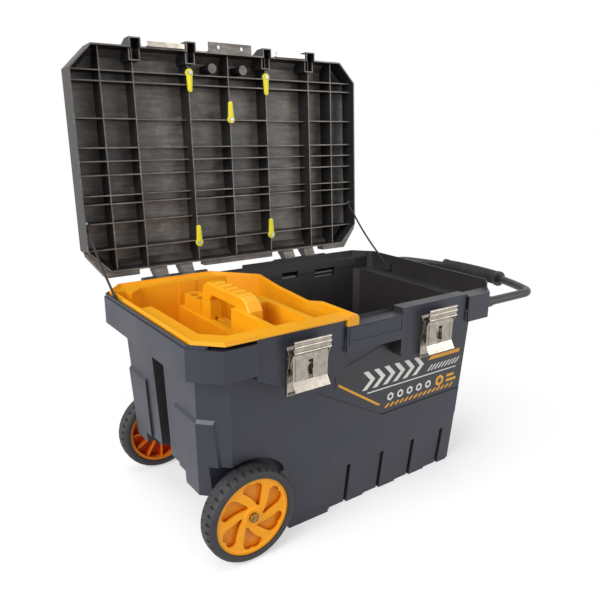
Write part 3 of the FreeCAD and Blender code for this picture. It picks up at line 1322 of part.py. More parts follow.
def tray_shape():
    """The tray's one moulding."""
    solid = fused([tray_body()] + tray_flange()
                  + [block(s.tray_left, end_at(TRAY_FLOOR) + 12, -side_at(TRAY_FLOOR) + 14,
                           side_at(TRAY_FLOOR) - 10, s.rim_height - 20, TRAY_TOP)])
    keep = block(SPINE_LEFT, SPINE_RIGHT, -FAR, FAR, 0, SPINE_TOP)
    rooms = [cut(room, [keep]) for room in tray_rooms()]
    above_spine = block(SPINE_LEFT - 5, SPINE_RIGHT + 4, -46, side_at(TRAY_FLOOR) - s.wall - 10, SPINE_TOP, FAR)
    sunk = tray_middle(SUNK_FOOT + s.tray_wall).extrude(V(0, 0, FAR))
    solid = cut(solid, rooms + [above_spine, sunk] + tray_hollows_below())
    notch_x, notch_front, notch_back = STAY_NOTCH
    notch_wall = block(s.tray_left, notch_x + s.tray_wall, notch_front - s.tray_wall, notch_back + s.tray_wall,
                       s.rim_height - 20, TRAY_TOP)
    solid = fused([solid, tray_handle(), notch_wall])
    slot = block(-177, -171, -17, 52, TRAY_FLOOR - 5, SPINE_TOP + 5)
    stay_notch = block(-FAR, notch_x, notch_front, notch_back, 0, FAR)
    return cut(solid, [slot, stay_notch])


feature("tote_tray", tray_shape())

# Lid stays: cords from a bracket in the tub to a screw in the lid

BRACKET_X = HALF_LENGTH - s.lip_inset - s.lip_wall
BRACKET_Y = 111
BRACKET_Z = s.rim_height - 13


def stay_route(side):
    """The cord's points, from its bracket to its screw, with a little slack."""
    start = V(side * (BRACKET_X - 4.3), BRACKET_Y + 11, BRACKET_Z + 5)
    along_lid, into, depth = STAY_ANCHOR
    anchor = OPEN.multVec(lid_point(side * along_lid, into, depth))
    span = anchor - start
    end = anchor - span * (6.5 / span.Length)
    span = end - start
    slack = V(0, span.z, -span.y).normalize()
    points = [start]
    for share, drop in ((0.27, 4.6), (0.52, 6.4), (0.77, 4.2)):
        points.append(start + span * share + slack * drop)
    return points + [end]


def cord(points, radius):
    """A cord's tube: straight runs joined by tangent arcs as large as the runs allow."""
    edges = []
    radii = []
    last = points[0]
    for before, corner, after in zip(points, points[1:], points[2:]):
        to_corner = (corner - before).normalize()
        from_corner = (after - corner).normalize()
        turn = to_corner.getAngle(from_corner)
        reach = 0.45 * min((corner - before).Length, (after - corner).Length)
        bend = reach / math.tan(turn / 2)
        start = corner - to_corner * reach
        finish = corner + from_corner * reach
        bisector = (from_corner - to_corner).normalize()
        middle = corner + bisector * (bend / math.cos(turn / 2) - bend)
        edges.append(Part.LineSegment(last, start).toShape())
        edges.append(Part.Arc(start, middle, finish).toShape())
        radii.append(bend)
        last = finish
    edges.append(Part.LineSegment(last, points[-1]).toShape())
    wire = Part.Wire(edges)
    solid = along(wire, radius)
    expected = math.pi * radius ** 2 * wire.Length
    print(f"cord {wire.Length:.1f} mm long, least bend radius {min(radii):.0f} mm,"
          f" volume {solid.Volume:.0f} of {expected:.0f} mm3")
    return solid


for side, name in zip(SIDES, ("left", "right")):
    feature(f"stay_cord_{name}", cord(stay_route(side), s.stay_radius))
    thick = 8
    x0 = side * BRACKET_X - (thick if side > 0 else 0)
    bracket = bound("Part::Box", f"bracket_{name}", (x0, BRACKET_Y - 9, BRACKET_Z - 8), Length=thick,
                    Width=18, Height=16)
    subpart(bracket, f"stay_bracket_{name}")
    inner = lid_point(side * 334, STAY_ANCHOR[1], STAY_ANCHOR[2])
    outer = lid_point(side * (HALF_LENGTH + s.lid_end_overlap - s.lid_wall), STAY_ANCHOR[1], STAY_ANCHOR[2])
    feature(f"stay_screw_{name}", rod(STAY_SCREW, inner, outer), OPEN)

# Turn clips on the lid's ribs


def clip_shape():
    """A clip lying flat: round head with its bore, an arm and a rounded tip, towards +Y."""
    head = Part.makeCylinder(8, s.clip_height)
    arm = slab_xy([(-6.5, 0), (6.5, 0), (4.5, s.clip_length - 12), (-4.5, s.clip_length - 12)], 1, s.clip_height)
    tip = Part.makeCylinder(4.5, s.clip_height - 1, V(0, s.clip_length - 12, 1))
    bore = Part.makeCylinder(CLIP_SCREW + s.running_gap, 20, V(0, 0, -5))
    grip_rib = slab_xy([(-1.6, 4), (1.6, 4), (1.2, s.clip_length - 12), (-1.2, s.clip_length - 12)],
                       s.clip_height - 0.5, s.clip_height + 1.4)
    grip_rib = grip_rib.cut(Part.makeCylinder(5, 20))
    return cut(fused([head, arm, tip, grip_rib]), [bore])


CLIP_NAMES = ("upper_left", "upper_right", "middle", "lower_left", "lower_right")
clip_screws = []
for name, (x, into, toward) in zip(CLIP_NAMES, CLIPS):
    foot = lid_point(x, into, s.rib_face - s.seat_gap)
    flipped = Rotation(V(0, 1, 0), 180) if toward < 0 else Rotation(V(1, 0, 0), 180)
    feature(f"turn_clip_{name}", clip_shape(), OPEN.multiply(Placement(foot, flipped)))
    head_depth = s.rib_face - s.seat_gap - s.clip_height - s.seat_gap
    shank = rod(CLIP_SCREW, lid_point(x, into, head_depth - 1), lid_point(x, into, s.rib_face + 12))
    head = rod(3.8, lid_point(x, into, head_depth - 1.8), lid_point(x, into, head_depth))
    clip_screws.append(shank.fuse(head))
feature("clip_screws", Part.makeCompound(clip_screws), OPEN)

# Everything is recomputed and looked at before any file is written
doc.recompute()
failed = [obj.Name for obj in doc.Objects if "Invalid" in obj.State or "Error" in obj.State]
for piece in SUBPARTS:
    if piece.Shape.isNull() or not piece.Shape.isValid() or not piece.Shape.Solids:
        failed.append(piece.Label)
if failed:
    raise RuntimeError(f"these pieces failed: {failed}")
os.makedirs("parts", exist_ok=True)
for piece in SUBPARTS:
    piece.Shape.exportStep(f"parts/{piece.Label}.step")
print(f"{len(SUBPARTS)} pieces written")
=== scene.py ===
"""A rolling plastic tool box with its lid open: finishes, softened edges, cords, light and camera."""
import json
import math

import bmesh
import bpy
from mathutils import Matrix, Vector


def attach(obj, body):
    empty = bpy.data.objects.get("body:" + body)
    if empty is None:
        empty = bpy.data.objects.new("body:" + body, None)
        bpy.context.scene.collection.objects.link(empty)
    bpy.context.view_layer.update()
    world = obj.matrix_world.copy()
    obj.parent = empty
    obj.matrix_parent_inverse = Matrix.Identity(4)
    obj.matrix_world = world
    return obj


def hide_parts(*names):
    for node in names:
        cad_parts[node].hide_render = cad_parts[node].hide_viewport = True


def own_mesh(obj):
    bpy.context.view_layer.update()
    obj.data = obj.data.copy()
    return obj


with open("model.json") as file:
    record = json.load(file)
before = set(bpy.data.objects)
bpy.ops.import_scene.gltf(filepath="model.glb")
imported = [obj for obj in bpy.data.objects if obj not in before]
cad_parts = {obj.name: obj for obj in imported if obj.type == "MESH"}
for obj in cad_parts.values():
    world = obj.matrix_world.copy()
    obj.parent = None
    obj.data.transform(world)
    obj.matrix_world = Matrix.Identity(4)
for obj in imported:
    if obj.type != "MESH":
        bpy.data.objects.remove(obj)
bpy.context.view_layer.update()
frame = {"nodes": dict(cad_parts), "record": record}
nodes = frame["nodes"]
slot_of_node = {part["node"]: part["material_slot"] for part in frame["record"]["subparts"]}
body_of_node = {}
for body, members in frame["record"]["behaviour"]["bodies"].items():
    for member in members:
        body_of_node[member] = body
SIDES = ((-1, "left"), (1, "right"))

# Colours, as sRGB hex values; where there are two, a surface wanders between them

SLATE = ("#272934", "#2a2c38")
# Painted shade inside the tub
SLATE_INSIDE_SHADE = "#292627"
# Painted highlight along the tub's rounded edges
SLATE_EDGE_HIGHLIGHT = ("#272934", "#5a5c68")
# Painted shade on the lid's rib sides
LID_RIB_SIDE_SHADE = "#1f1e1f"
LID_PANEL = ("#544f4b", "#827c75")
# Painted highlight along the lid's rounded edges
LID_EDGE_HIGHLIGHT = ("#2a2929", "#4a4744")
TRAY_YELLOW = ("#eaa414", "#e39910")
# Painted highlight along the tray's rounded edges
TRAY_EDGE_HIGHLIGHT = ("#f2ae26", "#fabb38")
HUB_FACE = "#faa410"
# Painted shade: the hubs' pockets and inner side, a deeper orange with depth
HUB_POCKET_WALL_SHADE = "#bb560b"
HUB_POCKET_FLOOR_SHADE = "#e68e18"
HUB_RIB_TIP_SHADE = "#e8821a"
HUB_RIB_ROOT_SHADE = "#cc4509"
CLIP_LEMON = ("#e6dc1e", "#ddd21a")
FITTING_BLACK = ("#26262a", "#2f2f33")
TYRE_BLACK = ("#242427", "#363639")
NICKEL = ("#b0a99f", "#9a9287")
ZINC = ("#a9aab0", "#8e8f94")
PASSIVATE = ("#9a7a44", "#6f5328")
COAT_BLACK = ("#1f1e20", "#2d2b2c")
FOAM_BLACK = ("#222123", "#2e2d2f")
CORD_BLACK = ("#1b1b1c", "#2c2c2e")
FILM_CHARCOAL = ("#26262b", "#2a2a30")
PRINT_WHITE = ("#e7e5df", "#dddad2")
PRINT_AMBER = ("#e9a623", "#e29c1f")
FLOOR_GREY = "#c4c4c6"
WHITE = "#ffffff"


def linear(hex_colour):
    """An sRGB hex colour as linear red, green, blue and alpha."""
    channels = [int(hex_colour[place:place + 2], 16) / 255 for place in (1, 3, 5)]
    return [c / 12.92 if c <= 0.04045 else ((c + 0.055) / 1.055) ** 2.4 for c in channels] + [1]


# Materials

# Short names for the kinds of node that are used often
NOISE = "ShaderNodeTexNoise"
RANGE = "ShaderNodeMapRange"
MIX = "ShaderNodeMix"
MATHS = "ShaderNodeMath"
VECTOR_MATHS = "ShaderNodeVectorMath"
BUMP = "ShaderNodeBump"
PARTS = "ShaderNodeSeparateXYZ"

# Sockets of a colour mix by number, because its other kinds have sockets of the same names
SHARE = 0
FIRST = 6
SECOND = 7
COLOURS = {"data_type": "RGBA", "output": 2}

# Sockets of a range: what comes in, its two ends, and what they are brought to
VALUE = 0
LOW = 1
HIGH = 2
TO_LOW = 3
TO_HIGH = 4


def add(material, kind, inputs=None, output=0, **settings):
    """Adds one node with its settings and links, and gives one of its outputs."""
    node = material.node_tree.nodes.new(kind)
    for name, value in settings.items():
        setattr(node, name, value)
    for name, value in (inputs or {}).items():
        if isinstance(value, bpy.types.NodeSocket):
            material.node_tree.links.new(value, node.inputs[name])
        else:
            node.inputs[name].default_value = linear(value) if isinstance(value, str) else value
    return node.outputs[output] if len(node.outputs) else None


def new_material(name):
    """An empty material with its place in space: Object coordinates, in metres."""
    material = bpy.data.materials.new(name)
    material.use_nodes = True
    material.node_tree.nodes.clear()
    return material, add(material, "ShaderNodeTexCoord", output="Object")


def finish_material(material, **inputs):
    """The shader and the output."""
    named = {name.replace("_", " "): value for name, value in inputs.items()}
    shader = add(material, "ShaderNodeBsdfPrincipled", named)
    add(material, "ShaderNodeOutputMaterial", {"Surface": shader})
    return material


def per_metre(millimetres):
    """A texture's scale for a feature of that size."""
    return 1000 / millimetres


def metres(millimetres):
    """Millimetres as metres."""
    return millimetres / 1000


# The grain of a spark-eroded mould is about 0.4 mm wide, drawn at 1.6 mm so that it shows
GRAIN = {"Scale": per_metre(1.6), "Detail": 3.0, "Roughness": 0.6}
# Flow marks of the melt, about a hand's width
FLOW = {"Scale": per_metre(90), "Detail": 3.0, "Roughness": 0.55}
PLASTIC_IOR = 1.49


def satin_plastic(name, colours, rough, grain_depth):
    """Moulded plastic, film or ink: an even satin face with a fine grain and faint flow marks."""
    material, place = new_material(name)
    grain = add(material, NOISE, {"Vector": place, **GRAIN})
    flow = add(material, NOISE, {"Vector": place, **FLOW})
    share = add(material, RANGE, {VALUE: flow, LOW: 0.35, HIGH: 0.7})
    colour = add(material, MIX, {SHARE: share, FIRST: colours[0], SECOND: colours[1]}, **COLOURS)
    roughness = add(material, RANGE,
                    {VALUE: flow, LOW: 0.3, HIGH: 0.75, TO_LOW: rough - 0.06, TO_HIGH: rough + 0.08})
    normal = add(material, BUMP, {"Height": grain, "Strength": 0.5, "Distance": metres(grain_depth)})
    return finish_material(material, Base_Color=colour, Roughness=roughness, Normal=normal, IOR=PLASTIC_IOR)


# The collar's inner walls, in metres from the middle along each axis
COLLAR_INSIDE = (("X", 0.333), ("Y", 0.196))


def slate_plastic():
    """Slate polypropylene: blue-grey outside, and inside a painted shade in a neutral near-black, to match
    the photograph.
    """
    material, place = new_material("moulded polypropylene slate")
    grain = add(material, NOISE, {"Vector": place, **GRAIN})
    flow = add(material, NOISE, {"Vector": place, **FLOW})
    share = add(material, RANGE, {VALUE: flow, LOW: 0.35, HIGH: 0.7})
    outside = add(material, MIX, {SHARE: share, FIRST: SLATE[0], SECOND: SLATE[1]}, **COLOURS)
    # A face is turned outwards where its normal points away from the middle of the tub
    normal = add(material, "ShaderNodeTexCoord", output="Normal")
    from_middle = add(material, VECTOR_MATHS, {0: place, 1: (1, 1, 0)}, operation="MULTIPLY")
    outward = add(material, VECTOR_MATHS, {0: normal, 1: from_middle}, "Value", operation="DOT_PRODUCT")
    turned_in = add(material, RANGE, {VALUE: outward, LOW: -0.09, HIGH: -0.02, TO_LOW: 1, TO_HIGH: 0})
    # Level faces between the collar's walls get the painted shade too
    inside = add(material, RANGE, {VALUE: outward, LOW: 0.005, HIGH: 0.03, TO_LOW: 1, TO_HIGH: 0})
    for axis, wall in COLLAR_INSIDE:
        along_axis = add(material, PARTS, {"Vector": place}, axis)
        distance = add(material, MATHS, {0: along_axis}, operation="ABSOLUTE")
        within = add(material, RANGE, {VALUE: distance, LOW: wall, HIGH: wall + 0.003, TO_LOW: 1, TO_HIGH: 0})
        inside = add(material, MATHS, {0: inside, 1: within}, operation="MULTIPLY")
    inside = add(material, MATHS, {0: inside, 1: turned_in}, operation="MAXIMUM")
    # Painted shade: the tub's inner faces take a near-black in place of the slate
    colour = add(material, MIX, {SHARE: inside, FIRST: outside, SECOND: SLATE_INSIDE_SHADE}, **COLOURS)
    roughness = add(material, RANGE, {VALUE: flow, LOW: 0.3, HIGH: 0.75, TO_LOW: 0.38, TO_HIGH: 0.52})
    relief = add(material, BUMP, {"Height": grain, "Strength": 0.5, "Distance": metres(0.16)})
    return finish_material(material, Base_Color=colour, Roughness=roughness, Normal=relief, IOR=PLASTIC_IOR)


# Which way the open lid's inner face looks
LID_INWARD = (0, -0.9978, 0.0663)


def ribbed_plastic():
    """Black polypropylene of the lid: mottled grey panels, painted shade on the rib sides and painted light
    towards the handle's end, to match the photograph.
    """
    material, place = new_material("moulded polypropylene black")
    normal = add(material, "ShaderNodeTexCoord", output="Normal")
    facing = add(material, VECTOR_MATHS, {0: normal, 1: LID_INWARD}, "Value", operation="DOT_PRODUCT")
    grain = add(material, NOISE, {"Vector": place, **GRAIN})
    mottle = add(material, NOISE, {"Vector": place, "Scale": per_metre(34), "Detail": 6.0, "Roughness": 0.7})
    drawn = add(material, "ShaderNodeMapping", {"Vector": place, "Scale": (0.12, 1, 1)})
    streaks = add(material, NOISE, {"Vector": drawn, "Scale": per_metre(7), "Detail": 4.0, "Roughness": 0.6})
    tone = add(material, MATHS, {0: mottle, 1: streaks}, operation="MULTIPLY")
    # Painted light: lighter towards the handle's end, to match the photograph
    along = add(material, PARTS, {"Vector": place}, "X")
    tone = add(material, MATHS, {0: along, 1: 0.2, 2: tone}, operation="MULTIPLY_ADD")
    share = add(material, RANGE, {VALUE: tone, LOW: 0.16, HIGH: 0.36})
    panel = add(material, MIX, {SHARE: share, FIRST: LID_PANEL[0], SECOND: LID_PANEL[1]}, **COLOURS)
    # Painted shade: faces that don't look into the open lid, the rib sides, take near-black
    turned = add(material, RANGE, {VALUE: facing, LOW: 0.3, HIGH: 0.9})
    colour = add(material, MIX, {SHARE: turned, FIRST: LID_RIB_SIDE_SHADE, SECOND: panel}, **COLOURS)
    relief = add(material, BUMP, {"Height": grain, "Strength": 0.5, "Distance": metres(0.16)})
    return finish_material(material, Base_Color=colour, Roughness=0.44, Normal=relief, IOR=PLASTIC_IOR)


def edge_highlight_plastic(name, colours, rough):
    """The same plastic along its rounded edges: smoother, and lighter in patches as a painted highlight."""
    material, place = new_material(name)
    tone_patches = add(material, NOISE, {"Vector": place, "Scale": per_metre(14), "Detail": 4.0, "Roughness": 0.65})
    share = add(material, RANGE, {VALUE: tone_patches, LOW: 0.42, HIGH: 0.62})
    colour = add(material, MIX, {SHARE: share, FIRST: colours[0], SECOND: colours[1]}, **COLOURS)
    return finish_material(material, Base_Color=colour, Roughness=rough, IOR=PLASTIC_IOR)


# Painted shade on the hubs: how far out from the middle of the box each tint begins and is full, in metres;
# the deeper orange tints darken the pockets and the inner side, the outermost is the face's own orange
HUB_DEPTH_SHADES = (
    (0.170, 0.186, HUB_RIB_ROOT_SHADE), (0.1885, 0.1905, HUB_POCKET_FLOOR_SHADE),
    (0.1912, 0.1917, HUB_POCKET_WALL_SHADE), (0.194, 0.1985, HUB_FACE),
)


def hub_plastic():
    """Orange polypropylene: bright outside, with painted shade in a deeper orange at each depth of the
    pockets and the inner side, to match the photograph.
    """
    material, place = new_material("moulded polypropylene orange")
    sideways = add(material, PARTS, {"Vector": place}, "Y")
    out = add(material, MATHS, {0: sideways}, operation="ABSOLUTE")
    colour = HUB_RIB_TIP_SHADE
    for begins, full, tint in HUB_DEPTH_SHADES:
        share = add(material, RANGE, {VALUE: out, LOW: begins, HIGH: full})
        colour = add(material, MIX, {SHARE: share, FIRST: colour, SECOND: tint}, **COLOURS)
    flow = add(material, NOISE, {"Vector": place, "Scale": per_metre(60), "Detail": 3.0, "Roughness": 0.55})
    roughness = add(material, RANGE, {VALUE: flow, LOW: 0.3, HIGH: 0.75, TO_LOW: 0.3, TO_HIGH: 0.42})
    return finish_material(material, Base_Color=colour, Roughness=roughness, IOR=PLASTIC_IOR,
                           Specular_IOR_Level=0.3)


def tyre_rubber():
    """Solid moulded rubber: dull, with faint grey patches."""
    material, place = new_material("solid rubber")
    cloud = add(material, NOISE, {"Vector": place, "Scale": per_metre(22), "Detail": 5.0, "Roughness": 0.6})
    grain = add(material, NOISE, {"Vector": place, "Scale": per_metre(1.4), "Detail": 2.0, "Roughness": 0.5})
    share = add(material, RANGE, {VALUE: cloud, LOW: 0.45, HIGH: 0.75})
    colour = add(material, MIX, {SHARE: share, FIRST: TYRE_BLACK[0], SECOND: TYRE_BLACK[1]}, **COLOURS)
    roughness = add(material, RANGE, {VALUE: cloud, LOW: 0.3, HIGH: 0.7, TO_LOW: 0.55, TO_HIGH: 0.75})
    relief = add(material, BUMP, {"Height": grain, "Strength": 0.4, "Distance": metres(0.15)})
    return finish_material(material, Base_Color=colour, Roughness=roughness, Normal=relief, IOR=1.52)


def zinc_steel():
    """Zinc plated steel: pale grey, slightly mottled."""
    material, place = new_material("zinc plated steel")
    cloud = add(material, NOISE, {"Vector": place, "Scale": per_metre(5), "Detail": 3.0, "Roughness": 0.5})
    share = add(material, RANGE, {VALUE: cloud, LOW: 0.35, HIGH: 0.7})
    colour = add(material, MIX, {SHARE: share, FIRST: ZINC[0], SECOND: ZINC[1]}, **COLOURS)
    roughness = add(material, RANGE, {VALUE: cloud, LOW: 0.3, HIGH: 0.7, TO_LOW: 0.3, TO_HIGH: 0.42})
    return finish_material(material, Base_Color=colour, Metallic=1.0, Roughness=roughness)


def passivated_steel():
    """A dull brass tone, to match the photograph, taken for steel with a yellow passivate."""
    material, place = new_material("yellow passivated steel")
    cloud = add(material, NOISE, {"Vector": place, "Scale": per_metre(4), "Detail": 3.0, "Roughness": 0.5})
    share = add(material, RANGE, {VALUE: cloud, LOW: 0.35, HIGH: 0.7})
    colour = add(material, MIX, {SHARE: share, FIRST: PASSIVATE[0], SECOND: PASSIVATE[1]}, **COLOURS)
    return finish_material(material, Base_Color=colour, Metallic=1.0, Roughness=0.32)


def plated_steel():
    """Pressed steel with bright nickel: a soft mirror with faint rolling marks along its width."""
    material, place = new_material("nickel plated steel")
    drawn = add(material, "ShaderNodeMapping", {"Vector": place, "Scale": (0.06, 1, 1)})
    marks = add(material, NOISE, {"Vector": drawn, "Scale": per_metre(0.8), "Detail": 3.0, "Roughness": 0.6})
    cloud = add(material, NOISE, {"Vector": place, "Scale": per_metre(12), "Detail": 3.0, "Roughness": 0.5})
    share = add(material, RANGE, {VALUE: cloud, LOW: 0.35, HIGH: 0.7})
    colour = add(material, MIX, {SHARE: share, FIRST: NICKEL[0], SECOND: NICKEL[1]}, **COLOURS)
    roughness = add(material, RANGE, {VALUE: cloud, LOW: 0.3, HIGH: 0.7, TO_LOW: 0.13, TO_HIGH: 0.26})
    relief = add(material, BUMP, {"Height": marks, "Strength": 0.25, "Distance": metres(0.05)})
    return finish_material(material, Base_Color=colour, Metallic=1.0, Roughness=roughness, Normal=relief)


def powder_coat():
    """Black powder coat on steel tube: satin, with a faint orange peel."""
    material, place = new_material("black powder coat")
    peel = add(material, NOISE, {"Vector": place, "Scale": per_metre(2.2), "Detail": 2.0, "Roughness": 0.5})
    tone_patches = add(material, NOISE, {"Vector": place, "Scale": per_metre(30), "Detail": 4.0, "Roughness": 0.6})
    share = add(material, RANGE, {VALUE: tone_patches, LOW: 0.5, HIGH: 0.75})
    colour = add(material, MIX, {SHARE: share, FIRST: COAT_BLACK[0], SECOND: COAT_BLACK[1]}, **COLOURS)
    roughness = add(material, RANGE, {VALUE: tone_patches, LOW: 0.35, HIGH: 0.7, TO_LOW: 0.3, TO_HIGH: 0.42})
    relief = add(material, BUMP, {"Height": peel, "Strength": 0.35, "Distance": metres(0.12)})
    return finish_material(material, Base_Color=colour, Roughness=roughness, Normal=relief, IOR=1.5)


def foam_rubber():
    """Foam rubber sleeve: matt, with open pores about a millimetre and a half wide."""
    material, place = new_material("foam rubber")
    pores = add(material, "ShaderNodeTexVoronoi", {"Vector": place, "Scale": per_metre(1.6)})
    tone = add(material, NOISE, {"Vector": place, "Scale": per_metre(18), "Detail": 3.0, "Roughness": 0.5})
    share = add(material, RANGE, {VALUE: tone, LOW: 0.35, HIGH: 0.7})
    colour = add(material, MIX, {SHARE: share, FIRST: FOAM_BLACK[0], SECOND: FOAM_BLACK[1]}, **COLOURS)
    relief = add(material, BUMP, {"Height": pores, "Strength": 0.5, "Distance": metres(0.3)})
    return finish_material(material, Base_Color=colour, Roughness=0.82, Normal=relief, IOR=1.45)


def braided_cord():
    """Braided polyester cord: matt black, with slanting bands of strands about 2 mm apart along it."""
    material, place = new_material("braided cord")
    # The texture draws 10 radians to its unit, so 4.4 mm gives bands about 2 mm apart along the cord
    waves = {"Vector": place, "Scale": per_metre(4.4), "Distortion": 1.5}
    strands = add(material, "ShaderNodeTexWave", waves, "Fac", wave_type="BANDS", bands_direction="DIAGONAL")
    colour = add(material, MIX, {SHARE: strands, FIRST: CORD_BLACK[0], SECOND: CORD_BLACK[1]}, **COLOURS)
    relief = add(material, BUMP, {"Height": strands, "Strength": 0.6, "Distance": metres(0.3)})
    return finish_material(material, Base_Color=colour, Roughness=0.8, Normal=relief)


slate = slate_plastic()
slate_edge_highlight = edge_highlight_plastic("slate polypropylene painted edge highlight", SLATE_EDGE_HIGHLIGHT, 0.36)
black = ribbed_plastic()
black_edge_highlight = edge_highlight_plastic("black polypropylene painted edge highlight", LID_EDGE_HIGHLIGHT, 0.38)
yellow = satin_plastic("moulded polypropylene yellow", TRAY_YELLOW, 0.38, 0.1)
yellow_edge_highlight = edge_highlight_plastic("yellow polypropylene painted edge highlight", TRAY_EDGE_HIGHLIGHT, 0.3)
nickel = plated_steel()
braid = braided_cord()
# Printed film and screen inks: smooth, thin coats with hardly any grain
film = satin_plastic("printed film", FILM_CHARCOAL, 0.3, 0.02)
ink_white = satin_plastic("white ink", PRINT_WHITE, 0.4, 0.01)
ink_amber = satin_plastic("amber ink", PRINT_AMBER, 0.4, 0.01)

BY_SLOT = {
    "tub_plastic": slate, "lid_plastic": black, "tray_plastic": yellow, "nickel_plate": nickel,
    "cord_black": braid, "label_film": film, "hub_plastic": hub_plastic(), "tyre_rubber": tyre_rubber(),
    "black_tube": powder_coat(), "grip_foam": foam_rubber(),
    "clip_plastic": satin_plastic("moulded polypropylene lemon", CLIP_LEMON, 0.34, 0.05),
    "black_plastic": satin_plastic("moulded nylon black", FITTING_BLACK, 0.42, 0.1),
    "plain_steel": zinc_steel(),
}

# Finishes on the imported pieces


def paint(obj, *materials):
    """Gives an object these materials in place of its own."""
    obj.data.materials.clear()
    for material in materials:
        obj.data.materials.append(material)


brassy = passivated_steel()
for name, obj in nodes.items():
    paint(obj, BY_SLOT[slot_of_node[name]])
for name in ("axle_cap_front", "axle_cap_rear"):
    paint(nodes[name], brassy)

# Softened edges: a merged copy of a piece, with every sharp edge rounded

MERGE_DISTANCE = 0.00001
FLAT_ANGLE = math.radians(0.6)
SHARP_ANGLE = math.radians(28)


def softened(node, label, materials, width):
    """A copy of a piece whose edges are rounded by so many millimetres, as a mould or a press leaves them."""
    mesh = nodes[node].data.copy()
    mesh.name = label
    copy = bmesh.new()
    copy.from_mesh(mesh)
    bmesh.ops.remove_doubles(copy, verts=copy.verts, dist=MERGE_DISTANCE)
    bmesh.ops.dissolve_limit(copy, angle_limit=FLAT_ANGLE, verts=copy.verts, edges=copy.edges,
                             use_dissolve_boundaries=False, delimit=set())
    bmesh.ops.connect_verts_concave(copy, faces=copy.faces)
    for face in copy.faces:
        face.smooth = False
        face.material_index = 0
    copy.to_mesh(mesh)
    copy.free()
    piece = bpy.data.objects.new(label, mesh)
    bpy.context.scene.collection.objects.link(piece)
    paint(piece, *materials)
    bevel = piece.modifiers.new("rounded edges", "BEVEL")
    bevel.width = metres(width)
    bevel.segments = 2
    bevel.limit_method = "ANGLE"
    bevel.angle_limit = SHARP_ANGLE
    bevel.use_clamp_overlap = True
    bevel.harden_normals = True
    # The rounded edges take the last material: on the mouldings, the painted edge highlight
    bevel.material = len(materials) - 1
    bevel.miter_outer = "MITER_ARC"
    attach(piece, body_of_node[node])
    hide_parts(node)


softened("tub_shell", "tub_moulding", (slate, slate_edge_highlight), 1.4)
softened("lid_shell", "lid_moulding", (black, black_edge_highlight), 1.0)
softened("tote_tray", "tray_moulding", (yellow, yellow_edge_highlight), 1.1)
for _, name in SIDES:
    for part in ("base", "lever", "hook"):
        softened(f"latch_{part}_{name}", f"pressed_{part}_{name}", (nickel,), 0.35)

# Print on the label: a plain pattern of stripes, arrow heads and nuts

# The plane of the label's print: its place at the floor's level, in metres, and how it leans out upwards
LABEL_FOOT = -0.16396
LABEL_LEAN = 1 / 17


def printed(label, material, shapes):
    """Flat shapes of ink, given by (x, z) in millimetres, on the label's leaning face."""
    ink = bmesh.new()
    for shape in shapes:
        corners = []
        for x, z in shape:
            out = LABEL_FOOT - metres(z) * LABEL_LEAN
            corners.append(ink.verts.new((metres(x), out, metres(z))))
        face = ink.faces.new(corners)
        face.normal_update()
        if face.normal.y > 0:
            face.normal_flip()
    mesh = bpy.data.meshes.new(label)
    ink.to_mesh(mesh)
    ink.free()
    piece = bpy.data.objects.new(label, mesh)
    bpy.context.scene.collection.objects.link(piece)
    paint(piece, material)
    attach(piece, "tub")


def stripes(count, x, z, step, width, height):
    """Slanting bars side by side."""
    bars = []
    for number in range(count):
        left = x + number * step
        right = left + width
        bars.append([(left, z), (right, z), (right + height, z + height), (left + height, z + height)])
    return bars


def arrow_heads(count, x, z, step, width, height):
    """Chevrons in a row, pointing right."""
    half = height / 2
    heads = []
    for number in range(count):
        left = x + number * step
        right = left + width
        heads.append([(left, z), (right, z), (right + half, z + half),
                      (right, z + height), (left, z + height), (left + half, z + half)])
    return heads


def nut(x, z, outer, inner):
    """A hexagon nut seen from above, as six pieces of a ring."""
    def corner(radius, number):
        angle = math.radians(60 * number + 30)
        return (x + radius * math.cos(angle), z + radius * math.sin(angle))
    return [[corner(outer, side), corner(outer, side + 1), corner(inner, side + 1), corner(inner, side)]
            for side in range(6)]


def bar(left, right, low, high):
    """An upright rectangle."""
    return [(left, low), (right, low), (right, high), (left, high)]


white_shapes = arrow_heads(6, 4, 238, 26, 12, 38) + stripes(9, 176, 238, 10, 4.5, 12)
white_shapes.append([(20, 229), (262, 229), (263, 231.5), (17, 231.5)])
for number in range(5):
    white_shapes += nut(80 + number * 26, 208, 9, 4.5)
amber_shapes = stripes(15, 66, 186, 13, 6.5, 8)
amber_shapes.append([(176, 262), (268, 262), (268, 270), (184, 270)])
amber_shapes.append([(-54, 262), (48, 197), (56, 197), (-54, 267)])
amber_shapes += nut(218, 208, 13, 6)
amber_shapes += [bar(238, 268, 200, 206), bar(238, 260, 211, 217)]
printed("label_print_white", ink_white, white_shapes)
printed("label_print_amber", ink_amber, amber_shapes)

# Lid stays: two cords with their facts and the route of the right one, in metres

STAY_DIAMETER = 0.0045
STAY_ROUTE = [(0.3352, 0.122, 0.384), (0.3359, 0.1653, 0.4148), (0.3366, 0.2038, 0.4452),
              (0.3373, 0.2397, 0.4786), (0.3379, 0.2713, 0.511)]


